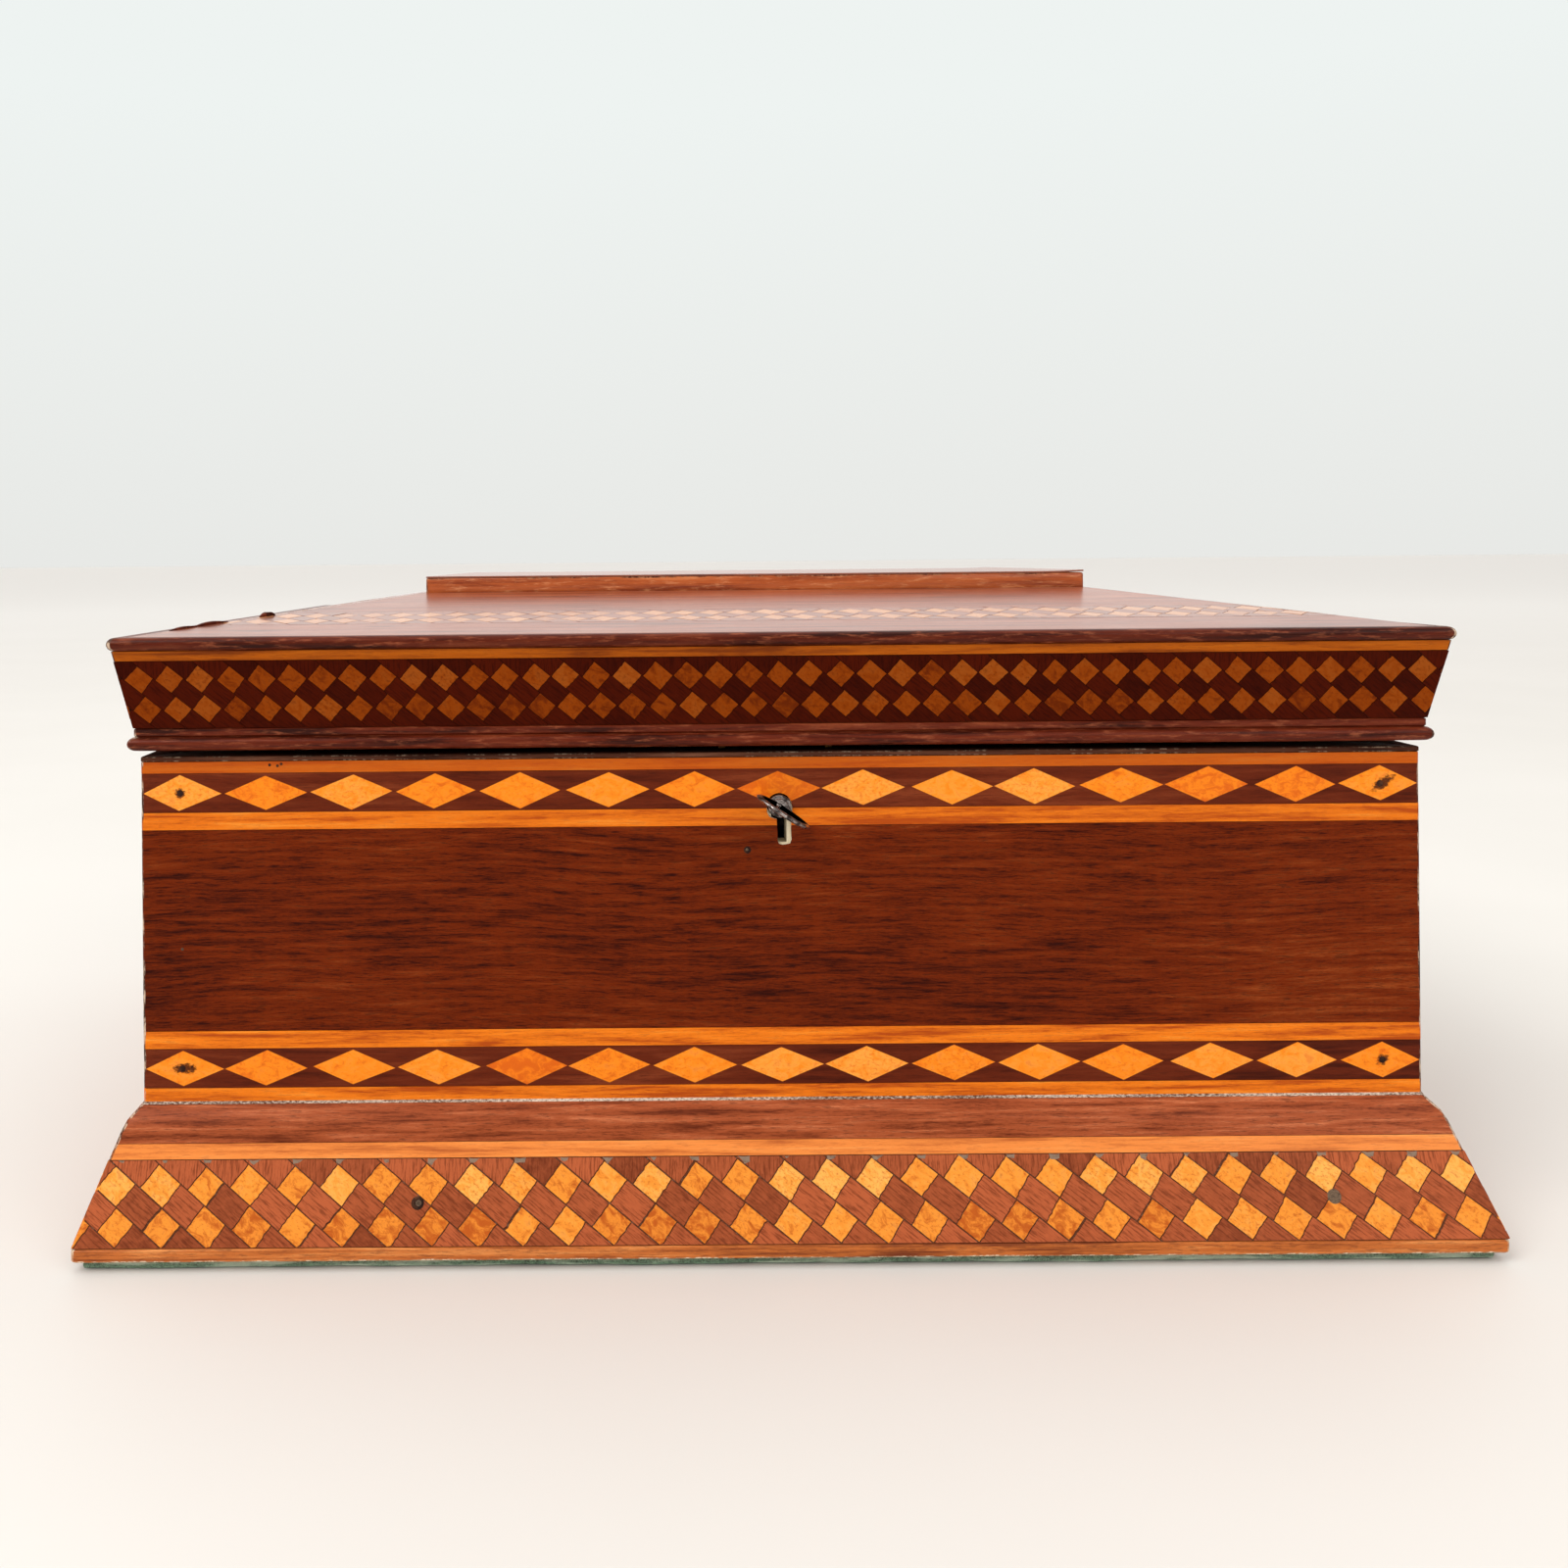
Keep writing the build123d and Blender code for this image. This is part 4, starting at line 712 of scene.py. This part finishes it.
ground_finish = wood(
    "band_ground", (62, 16, 3), (98, 34, 11), (124, 54, 26), (0.04, 0.5), 0.5,
    figure=0.4, coat=0.04, gloss=0.06)
string_finish = wood(
    "box_string", (172, 70, 6), (234, 122, 18), (250, 158, 54), (0.03, 0.6), 0.5,
    fibre=0.3, coat=0.06, gloss=0.09)
plinth_string_finish = wood(
    "plinth_string", (180, 92, 40), (232, 136, 62), (242, 158, 84), (0.03, 0.6), 0.45,
    rough=0.48)
edge_string_finish = wood(
    "edge_string", (112, 50, 22), (196, 108, 48), (232, 150, 82), (0.03, 0.8), 0.6,
    rough=0.55, rubbed=(122, 62, 34), worn_and_highlight=((190, 150, 116), (240, 224, 196)))
frieze_string_finish = wood(
    "frieze_string", (116, 48, 3), (172, 84, 6), (196, 106, 18), (0.03, 0.5), 0.45,
    coat=0.04, gloss=0.06)
lozenge_finish = inlay_wood(
    "lozenge_wood", (218, 98, 8), (250, 138, 20), (255, 166, 66),
    (80, 36, 26), (110, 54, 40), (96, 42, 16), (96, 42, 16))
plinth_chequer_finish = inlay_wood(
    "plinth_chequer", (184, 88, 28), (240, 148, 52), (254, 182, 90),
    (88, 34, 14), (180, 92, 54), (70, 42, 26), (136, 122, 106),
    coat=0.04, rough=0.46, gloss=0.08)
# The frieze chequer is dark wood, made darker still as painted shade for the frieze's downward tilt
frieze_chequer_dark_and_shaded_finish = inlay_wood(
    "frieze_chequer", (98, 34, 2), (136, 58, 4), (152, 76, 20),
    (40, 4, 0), (72, 16, 1), (34, 6, 1), (34, 6, 1), coat=0.0, gloss=0.03)
roof_chequer_finish = inlay_wood(
    "roof_chequer", (170, 100, 58), (208, 140, 86), (224, 160, 106),
    (118, 60, 38), (152, 86, 58), (84, 46, 32), (84, 46, 32),
    coat=1.0, rough=0.36, gloss=0.5)
carcass_finish = raw_wood("carcass_pine", (112, 76, 46), (156, 114, 74), pale=(236, 224, 196))
rail_finish = raw_wood("rail_mahogany", (74, 26, 12), (118, 52, 30))
keyhole_finish = raw_wood("keyhole_pine", (206, 190, 160), (240, 232, 210))
brass_finish = metal("old_brass", (196, 150, 84), (110, 78, 44))
steel_finish = metal("dull_steel", (128, 124, 120), (52, 44, 38))
# The lock seen through the keyhole is darker than the other steel: painted shade
lock_shaded_finish = metal("lock_iron_painted_shade", (58, 52, 48), (20, 16, 14), rough=0.5, stain=0.7)
iron_finish = metal("iron_nail", (92, 60, 44), (44, 22, 14), rough=0.5, stain=0.7)
key_finish = metal("key_steel", (176, 166, 162), (42, 33, 30), rough=0.24, stain=0.62)
baize_finish = felt("baize", (40, 66, 48), (138, 180, 144), (212, 232, 206), (16, 22, 17))
lining_finish = lining("lining_paper", (96, 36, 34), (132, 66, 56))
glue_finish = crumbled("crumbled_glue", (232, 212, 192), (92, 58, 42))
filler_finish = crumbled("nail_filler", (122, 100, 80), (58, 42, 32))
stain_finish = stained("rust_stain", (88, 42, 18))

# Plinth
slope = ((plinth_flare, z_slope), (shoulder_flare, z_shoulder))
for side in SIDES:
    core = [
        (plinth_flare - veneer, z_plinth),
        on_face(slope, 0, -veneer),
        on_face(slope, plinth_string_end, -veneer),
        on_face(slope, plinth_string_end + 0.05, 0),
        on_face(slope, plinth_slope_end, 0),
        (shoulder_flare - 0.55, z_shoulder + 0.75),
        (0.3, z_body),
        (-veneer, z_body),
        (-veneer, z_plinth),
    ]
    patches = run(side, core, 0.9, tint=(seeded.uniform(0.35, 0.65), 0.5, 0, 0))
    piece("plinth_" + side + "_moulding", patches, plinth_lit_finish, "case", ["plinth_" + side])
piece("plinth_edge", ring([
    (plinth_flare - 0.35, z_plinth),
    (plinth_flare, z_plinth + 0.35),
    (plinth_flare, z_plinth + 0.8),
    (plinth_flare, z_slope - 0.3),
    (plinth_flare - 0.25, z_slope),
    (plinth_flare - veneer, z_slope + 0.3),
    (plinth_flare - veneer, z_plinth),
], 1.1, worn=(0, 1)), edge_string_finish, "case", ["plinth_edge_strings"])
piece("plinth_string", ring(strip(slope, plinth_chequer_end, plinth_string_end), 0.9),
      plinth_string_finish, "case", ["plinth_slope_strings"])
plinth_pattern = dict(square=6.35, turn=38, pitch=10.45, row_gap=9.4, row_shift=1.5,
                      gap=0.15, sag=0.9, jag=0.07, dull=0.3, open_joints=0.1)
chequer_patches = chequer_band(slope, 0.2, plinth_chequer_end, plinth_pattern, 0.9)
chequer_patches += glue_crumbs(slope, plinth_chequer_end - 0.05, plinth_pattern["pitch"])
piece("plinth_chequer", chequer_patches, plinth_chequer_finish, "case",
      ["plinth_chequer_bands"])

# Body


def upright(z_from, z_to, lift=0.0):
    """Profile of a veneer on the body's upright face."""
    return strip(((0, z_from), (0, z_to)), 0, z_to - z_from, lift)


strings = ring(upright(z_body, z_low_band), corner_round)
strings += ring(upright(z_low_string, z_field), corner_round)
# The two strings nearest the lid are dim: painted shadow of the lid's overhang
strings += ring(upright(z_high_string, z_high_band), corner_round, dim=0.25)
strings += ring(upright(z_high_band_top, z_rim), corner_round, dim=1.0)
body_strings = piece("body_string_lines", strings, string_finish, "case", ["body_strings"])
grounds = ring(upright(z_low_band, z_low_string, -0.03), corner_round)
grounds += ring(upright(z_high_band, z_high_band_top, -0.03), corner_round)
band_grounds = piece("lozenge_grounds", grounds, ground_finish, "case",
                     ["lozenge_band_grounds"])
piece("low_lozenge_row", lozenges(z_low_row), lozenge_finish, "case", ["lower_lozenges"])
high_lozenges = piece("high_lozenge_row", lozenges(z_high_row), lozenge_finish, "case",
                      ["upper_lozenges"])
fields = {}
for side in SIDES:
    tint = (seeded.uniform(0.4, 0.6), 0.5, 0, 0)
    patches = run(side, upright(z_field, z_high_string), corner_round, tint=tint)
    fields[side] = piece(side + "_field", patches, field_finish, "case", [side + "_field_veneer"])
piece("foot_glue_line", ring([
    (0.4, z_body + 0.02),
    (0.05, z_body + 0.55),
    (-0.5, z_body + 0.55),
    (-0.5, z_body - 0.3),
], corner_round), glue_finish, "case")

# Keyhole: a round hole with a slot under it, the front's veneers broken away round the slot
slot_angle = np.arcsin(keyhole_slot_half / keyhole_radius)
sweep = np.linspace(slot_angle, 2 * np.pi - slot_angle, 33)
ragged = 1 + 0.3 * np.clip(np.sin(sweep - 4.0 - np.pi / 4), 0, 1)
broken_x = [-0.65, -0.5, -0.45, -0.1, 0.6, 1.6, 2.5, 2.85, 2.75, 2.9]
broken_z = [101.3, 98.5, 96.1, 95.45, 95.2, 95.3, 95.5, 96.4, 99.0, 101.4]
hole_x = np.concatenate([keyhole_radius * ragged * np.sin(sweep), broken_x])
hole_z = np.concatenate([z_key - keyhole_radius * ragged * np.cos(sweep), broken_z])


def cutter(x, z, y_from, y_to, finish, body):
    """A prism along Y over an outline, for cutting. It leaves its finish on the cut."""
    count = len(x)
    points = np.concatenate([np.stack([x, np.full(count, y), z], -1) for y in (y_from, y_to)])
    around = np.arange(count)
    after = np.roll(around, -1)
    walls = np.stack([around, after, after + count, around + count], -1)
    ends = np.array([around[::-1], around + count])
    patches = [Patch(points, faces, np.zeros(faces.shape + (2,))) for faces in (walls, ends)]
    obj = piece("cutter", patches, finish, body)
    bm = bmesh.new()
    bm.from_mesh(obj.data)
    bmesh.ops.recalc_face_normals(bm, faces=bm.faces)
    bm.to_mesh(obj.data)
    bm.free()
    return obj


def cut(tool, *pieces):
    """Takes the tool's shape out of pieces, and puts the tool away."""
    for obj in pieces:
        modifier = obj.modifiers.new("cut", "BOOLEAN")
        modifier.object = tool
        modifier.solver = "EXACT"
        modifier.material_mode = "TRANSFER"
        mesh = bpy.data.meshes.new_from_object(obj.evaluated_get(bpy.context.evaluated_depsgraph_get()))
        obj.modifiers.clear()
        obj.data = mesh
        mesh.set_sharp_from_angle(angle=np.radians(35))
    bpy.data.objects.remove(tool)


plug = cutter(hole_x, hole_z, -body_half_y - 3.0, -body_half_y + 3.0, keyhole_finish, "case")
cut(plug, body_strings, band_grounds, high_lozenges, fields["front"])


def values_of(items, name, width=1):
    """One property of a mesh's vertices, loops or polygons, a row for each."""
    values = np.empty(len(items) * width)
    items.foreach_get(name, values)
    return values.reshape(-1, width)


def softened(node, width, finish, body, forged=None):
    """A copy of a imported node, its loose triangles joined into flat faces and its edges rounded.
    Its grain runs along each face, and the round edges count as worn. Forged moves its points."""
    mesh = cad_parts[node].data.copy()
    bm = bmesh.new()
    bm.from_mesh(mesh)
    bmesh.ops.remove_doubles(bm, verts=bm.verts, dist=0.01 * MM)
    bmesh.ops.dissolve_limit(bm, angle_limit=np.radians(1), verts=bm.verts, edges=bm.edges)
    sharp_edges = [edge for edge in bm.edges if edge.calc_face_angle(0) > np.radians(40)]
    bmesh.ops.bevel(bm, geom=sharp_edges, offset=width * MM, segments=2, profile=0.5, affect="EDGES",
                    material=1)
    bm.to_mesh(mesh)
    bm.free()
    if forged:
        mesh.vertices.foreach_set("co", forged(values_of(mesh.vertices, "co", 3)).ravel())
        mesh.update()
    corners = values_of(mesh.loops, "vertex_index").ravel().astype(int)
    points = values_of(mesh.vertices, "co", 3)[corners] / MM
    sizes = values_of(mesh.polygons, "loop_total").ravel().astype(int)
    normals = np.repeat(values_of(mesh.polygons, "normal", 3), sizes, axis=0)
    worn = np.repeat(values_of(mesh.polygons, "material_index").ravel() > 0, sizes)
    facing = np.abs(normals).argmax(axis=1)
    u = np.where(facing == X, points[:, Y], points[:, X])
    v = np.where(facing == Z, points[:, Y], points[:, Z])
    tint = np.stack([np.full(len(u), 0.5), np.full(len(u), 0.5), np.zeros(len(u)), worn * 0.92], -1)
    painted(mesh, np.stack([u, v], -1).ravel(), tint.ravel())
    mesh.polygons.foreach_set("material_index", np.zeros(len(mesh.polygons), np.int32))
    return dressed(node + "_soft", mesh, finish, body, [node], 50)


def refinish(finish, *nodes):
    """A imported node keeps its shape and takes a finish."""
    for node in nodes:
        finish.put_on(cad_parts[node].data)


def flattened_bow(points):
    """The key's bow beaten flatter: past the barrel each point's height above the bow's middle
    plane shrinks towards 0.6 of itself."""
    lean = np.radians(bow_lean)
    square_to_bow = np.array([np.sin(lean), 0, np.cos(lean)])
    height = (points - (0, 0, z_key * MM)) @ square_to_bow
    share = np.clip((y_bow_start * MM - points[:, Y]) / (1.5 * MM), 0, 1)
    return points - (0.4 * share * height)[:, None] * square_to_bow


softened("rim_veneers", 0.3, rim_finish, "case")
softened("key", 0.12, key_finish, "key", flattened_bow)

# Nail heads in the end lozenges and the plinth, and a pit and chips in the front
head = [(0.95, -0.3), (0.8, 0.03), (0.75, 0.05), (0.5, 0.055), (0.0, 0.06)]
collar = [(1.6, -0.3), (1.5, 0.02), (1.35, 0.08), (0.9, 0.07), (0.0, 0.06)]
pin = [(0.8, -0.3), (0.7, 0.1), (0.45, 0.18), (0.0, 0.2)]
filled = [(1.9, -0.3), (1.6, 0.05), (1.2, 0.08), (0.0, 0.06)]
chip = [(0.55, -0.2), (0.35, 0.03), (0.0, 0.04)]
pit = [(1.1, -0.2), (0.9, 0.01), (0.0, 0.01)]
body_face = ((0, z_body), (0, z_rim))
nail_across = (z_plinth_nail - z_slope) * np.hypot(*np.subtract(*slope)) / (z_shoulder - z_slope)
nail_heads = []
nail_fillings = []
for side in SIDES:
    bare_nail, hidden_nail = -plinth_side_nail, plinth_side_nail
    if side in ("front", "back"):
        bare_nail, hidden_nail = -plinth_nail_left, plinth_nail_right
        for z in (z_low_row, z_high_row):
            nail_heads.extend(turning(side, body_face, -x_end_lozenge, z - z_body, head))
            nail_heads.extend(turning(side, body_face, x_end_lozenge, z - z_body, head))
    nail_heads.extend(turning(side, slope, bare_nail, nail_across, collar))
    nail_fillings.extend(turning(side, slope, bare_nail + 0.25, nail_across, pin, 9))
    nail_fillings.extend(turning(side, slope, hidden_nail, nail_across, filled))
for patches, (x, z), profile, count in (
    (nail_heads, (-7.7, 94.0), pit, 9),
    (nail_fillings, (-7.8, 94.1), chip, 7),
    (nail_fillings, (-143.3, 71.3), chip, 7),
    (nail_heads, (-122.0, 115.3), chip, 7),
    (nail_heads, (-120.1, 115.1), chip, 7),
    (nail_heads, (-119.2, 115.5), chip, 7),
    (nail_heads, (-141.2, 43.1), chip, 7),
):
    patches.extend(turning("front", body_face, x, z - z_body, profile, count))
piece("nail_heads", nail_heads, iron_finish, "case", ["case_nails"])
piece("nail_fillings", nail_fillings, filler_finish, "case")


def stain(along, up, reach, rise, lean):
    """A thin slab on the front's face, leaning by an angle. Its UV runs from -1 to 1 each way."""
    corner = np.array([(-1, -1), (1, -1), (1, 1), (-1, 1)])
    cos, sin = np.cos(lean), np.sin(lean)
    across = along + corner[:, 0] * reach * cos - corner[:, 1] * rise * sin
    height = up + corner[:, 0] * reach * sin + corner[:, 1] * rise * cos
    points = np.concatenate([placed("front", across, body_half_y + lift, height) for lift in (0.05, 0.0)])
    faces = np.array([(0, 1, 2, 3), (7, 6, 5, 4), (0, 4, 5, 1), (1, 5, 6, 2), (2, 6, 7, 3), (3, 7, 4, 0)])
    return [Patch(points, faces, np.concatenate([corner, corner])[faces])]


nail_stains = stain(-x_end_lozenge + 0.6, z_low_row, 4.2, 1.9, 0.05)
nail_stains += stain(-x_end_lozenge, z_high_row, 2.0, 1.8, 0.0)
nail_stains += stain(x_end_lozenge + 0.6, z_high_row, 4.4, 2.0, 0.55)
nail_stains += stain(x_end_lozenge, z_low_row, 2.4, 1.8, 0.2)
piece("nail_stains", nail_stains, stain_finish, "case")

# Lid mouldings


def half_round(flare, depth, z_from, z_to, count):
    """Profile points of a rounded edge that reaches a flare, from low to high."""
    angle = np.radians(np.linspace(-90, 90, count))
    height = z_from + (z_to - z_from) / 2 * (1 + np.sin(angle))
    return list(zip(flare - depth * (1 - np.cos(angle)), height))


z_bead = z_lid + 0.35
bead_profile = half_round(bead_flare, (z_fillet - z_bead) / 2, z_bead, z_fillet, 9)
bead_profile += [(moulding_inner, z_fillet), (moulding_inner, z_bead)]
bead = piece("lid_bead", ring(bead_profile, 1.4, step=8), moulding_finish, "lid",
             ["lid_beads"])
for leaf in ("left_hinge_lid_leaf", "right_hinge_lid_leaf"):
    left, right = np.add(low_high(leaf, X), (-0.2, 0.2))
    low, high = z_lid - 1, low_high(leaf, Z)[1] + 0.15
    y_leaf = low_high(leaf, Y)[0] - 0.2
    outline = [left, right, right, left], [low, low, high, high]
    cut(cutter(*outline, y_leaf, y_past_lid, rail_finish, "lid"), bead)
piece("lid_fillet", ring([
    (fillet_flare - 0.3, z_fillet),
    (fillet_flare, z_fillet + 0.4),
    (fillet_flare, z_frieze - 0.3),
    (fillet_flare - 0.3, z_frieze),
    (moulding_inner, z_frieze),
    (moulding_inner, z_fillet),
], 1.0), moulding_finish, "lid", ["lid_fillets"])
frieze = ((fillet_flare, z_frieze), (frieze_flare, z_cornice))
frieze_length = np.hypot(*np.subtract(*frieze))
lid_pattern = dict(square=4.94, turn=41, pitch=7.23, row_gap=7.55, row_shift=1.2,
                   gap=0.08, sag=0.0, jag=0.05, dull=0.15, open_joints=0.0)
piece("frieze_chequer", chequer_band(frieze, 0, frieze_chequer_end, lid_pattern),
      frieze_chequer_dark_and_shaded_finish, "lid", ["frieze_chequer_bands"])
piece("frieze_string", ring(strip(frieze, frieze_chequer_end, frieze_length), 0.6),
      frieze_string_finish, "lid", ["frieze_strings"])
cornice_profile = half_round(cornice_flare, 1.5, z_cornice, z_roof, 11)
cornice_profile += [(cornice_inner, z_roof), (cornice_inner, z_cornice)]
piece("cornice", ring(cornice_profile, 1.6, step=8, dim=0.4), moulding_finish, "lid",
      ["lid_cornice"])
roof = ((cornice_inner, z_roof), (panel_flare, z_panel_foot))
roof_strips = ring(strip(roof, 0, roof_outer_end), 0.5)
roof_strips += ring(strip(roof, roof_chequer_end, roof_end), 0.5)
piece("roof_veneer_strips", roof_strips, roof_finish, "lid", ["roof_veneers"])
piece("roof_chequer", chequer_band(roof, roof_outer_end, roof_chequer_end, lid_pattern),
      roof_chequer_finish, "lid", ["roof_chequer_bands"])


def lifted_sliver(start, end, rise, width):
    """A splinter of roof veneer standing off the front left mitre: a slab that follows the mitre
    between two shares of its length, its height a half sine wave, tapering at both ends."""
    share = np.linspace(start, end, 11)[:, None]
    flare = cornice_inner + (panel_flare - cornice_inner) * share
    height = z_roof + (z_panel_foot - z_roof) * share
    swell = np.sin(np.pi * (share - start) / (end - start))
    across = np.array([-1.0, 1.0, 1.0, -1.0])[None, :] * width / 2 * (0.25 + 0.75 * swell)
    lift = np.array([-0.3, -0.3, 0.12, 0.12])[None, :] + rise * swell * np.array([0, 0, 1, 1])[None, :]
    x = -(body_half_x + flare) + 0.1 + across
    y = -(body_half_y + flare) + 0.4
    points = np.stack(np.broadcast_arrays(x, y, height + lift), -1)
    index = np.arange(points[..., 0].size).reshape(11, 4)
    flat = points.reshape(-1, 3)[:, :2]
    every = (grid_faces(index, closed=-1), np.array([index[0], index[-1, ::-1]]))
    return [Patch(points, faces, flat[faces], (0.1, 0.5, 0.0, 0.4)) for faces in every]


slivers = lifted_sliver(0.12, 0.21, 0.5, 1.0)
slivers += lifted_sliver(0.19, 0.30, 0.75, 0.9)
slivers += lifted_sliver(0.40, 0.45, 1.0, 1.3)
piece("roof_splinters", slivers, moulding_finish, "lid")
softened("raised_panel", 0.5, panel_finish, "lid")


def sheet_of_veneer(half_x, half_y, z_low, z_high):
    """The panel's top veneer: a thin slab, its face sunk a little, curling up at its right end."""
    columns, rows = 60, 20
    x = np.linspace(-half_x, half_x, columns)[:, None]
    y = np.linspace(-half_y, half_y, rows)[None, :]
    curl = np.clip((x / half_x - 0.86) / 0.14, 0, 1) ** 2
    edge = np.minimum(half_x - np.abs(x), half_y - np.abs(y)) < 0.01
    levels = (z_high - 0.35 + 0.35 * curl - 0.15 * edge, z_low + 0.3 * curl)
    points = np.stack([np.stack(np.broadcast_arrays(x, y, z + 0 * edge), -1) for z in levels])
    upper, lower = np.arange(2 * columns * rows).reshape(2, columns, rows)
    rim, rim_low = (np.concatenate([face[:, 0], face[-1, 1:], face[-2::-1, -1], face[0, -2:0:-1]])
                    for face in (upper, lower))
    walls = np.stack([rim_low, np.roll(rim_low, -1), np.roll(rim, -1), rim], -1)
    faces = np.concatenate([grid_faces(upper), grid_faces(lower)[:, ::-1], walls])
    return [Patch(points, faces, points.reshape(-1, 3)[:, :2][faces])]


piece("panel_veneer", sheet_of_veneer(panel_half_x, panel_half_y, z_panel_veneer, z_lid_top),
      roof_finish, "lid", ["panel_top_veneer"])


def baize_cloth(half_x, half_y, z_high):
    """The baize under the box: a flat cloth whose edge is rounded and wanders in and out a little."""
    share = np.array([0.0, 0.35, 0.7, 0.92, 0.99, 1.0, 0.99, 0.92, 0.7, 0.35, 0.0])
    level = np.array([0.0, 0.0, 0.0, 0.0, 0.15, 0.5, 0.85, 1.0, 1.0, 1.0, 1.0])
    share = np.where(share > 0.9, 1 - (1 - share) * 0.12, share)
    angle = np.linspace(0, 2 * np.pi, 400, endpoint=False)
    square = 1 / np.maximum(np.abs(np.cos(angle)), np.abs(np.sin(angle)))
    wander = 1 - 0.004 * (0.5 + 0.5 * np.sin(17 * angle) * np.sin(5 * angle + 1)) - 0.001 * np.sin(61 * angle)
    x = share * (half_x * np.cos(angle) * square * wander)[:, None]
    y = share * (half_y * np.sin(angle) * square * wander)[:, None]
    points = np.stack(np.broadcast_arrays(x, y, level * z_high), -1)[:, 1:-1]
    return turned(points, points.reshape(-1, 3)[:, :2])


cloth = piece("baize_cloth", baize_cloth(baize_half_x, baize_half_y, z_plinth), baize_finish, "case",
              ["baize_pad"], 60)

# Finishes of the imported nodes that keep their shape
refinish(carcass_finish, "base_board", "front_wall", "back_wall", "left_wall", "right_wall", "lid_roof_board")
refinish(rail_finish, "lid_rail_front", "lid_rail_back", "lid_rail_left", "lid_rail_right")
refinish(lining_finish, "case_lining", "lid_lining")
for end in ("left", "right"):
    refinish(brass_finish, end + "_hinge_case_leaf", end + "_hinge_lid_leaf")
    refinish(steel_finish, end + "_hinge_pin")
refinish(brass_finish, "link_plate")
refinish(steel_finish, "hinge_case_screws", "hinge_lid_screws", "lock_screws", "link_plate_screws",
         "lock_bolt")
refinish(lock_shaded_finish, "lock_case", "lock_cap", "drill_pin", "bolt_spring")

# Studio: a plain pale floor, soft light, and a camera level with the lid
floor_mesh = bpy.data.meshes.new("floor")
floor_mesh.from_pydata([(-60, -60, 0), (60, -60, 0), (60, 60, 0), (-60, 60, 0)], [], [(0, 1, 2, 3)])
floor = linked("floor", floor_mesh)
floor_finish = Finish("pale_floor", Roughness=0.55, Specular_IOR_Level=0.3)
floor_place = floor_finish.place()
near_colour = floor_place.noise((3, 3, 3), 3.0).mix((218, 218, 214), (228, 228, 225))
far_off = floor_place.vector("LENGTH", output="Value").between(0.8, 5.0)
floor_finish.drive(Base_Color=far_off.mix(near_colour, (248, 250, 248)))
floor_finish.put_on(floor_mesh)

# The room is brightest above and behind the box, and the camera sees a plain backdrop
world = bpy.data.worlds.new("studio")
world.use_nodes = True
sky = Nodes(world.node_tree)
direction = sky.node("TexCoord", output="Generated")
facing = direction.vector("DOT_PRODUCT", (-0.3, 0.52, 0.8), output="Value")
dim_to_bright = {"From Min": -0.45, "From Max": 0.7, "To Min": 0.26, "To Max": 1.0}
strength = sky.node("MapRange", inputs={"Value": facing, **dim_to_bright})
room = sky.node("Background", inputs={0: (1.0, 0.95, 0.91, 1), 1: strength})
height = sky.node("SeparateXYZ", inputs={0: direction}, output="Z")
above_floor = sky.node("MapRange", inputs={"Value": height, "From Max": 0.3})
backdrop = sky.node("Background", inputs={0: above_floor.mix((232, 233, 230), (238, 243, 241))})
seen = sky.node("LightPath", output="Is Camera Ray")
either = sky.node("MixShader", inputs={0: seen, 1: room, 2: backdrop})
sky.connect(sky.tree.nodes["World Output"], {"Surface": either})
bpy.context.scene.world = world
bpy.context.scene.view_settings.view_transform = "Standard"


def soft_light(name, place, size, power, colour):
    """A square light, its place and size in metres, turned to face the box."""
    lamp = bpy.data.lights.new(name, "AREA")
    lamp.size = size
    lamp.energy = power
    lamp.color = colour
    obj = linked(name, lamp)
    x, y, z = np.subtract((0, 0, 0.08), place)
    obj.location = place
    obj.rotation_euler = (np.arctan2(np.hypot(x, y), -z), 0, np.arctan2(y, x) - np.pi / 2)


soft_light("window", (-2.2, -2.0, 2.7), 2.0, 80, (1.0, 0.99, 0.97))
soft_light("room", (2.2, -2.6, 2.0), 2.4, 38, (1.0, 0.96, 0.91))
soft_light("ceiling", (0.0, 0.4, 3.4), 3.0, 20, (1.0, 0.98, 0.95))

# The camera's place, in metres, and its view, from the photograph's vanishing point
frame_pixels = 1600
focal_pixels = 1450
centre_pixel_x = 634
horizon_pixel_y = 570
camera_data = bpy.data.cameras.new("camera")
camera_data.sensor_width = 36
camera_data.lens = 36 * focal_pixels / frame_pixels
camera_data.shift_x = (frame_pixels / 2 - centre_pixel_x) / frame_pixels
camera_data.shift_y = (horizon_pixel_y - frame_pixels / 2) / frame_pixels
camera = linked("camera", camera_data)
camera.location = (-0.0360, -0.4547, 0.1640)
camera.rotation_euler = (np.radians(90), 0.009, 0.0037)
bpy.context.scene.camera = camera
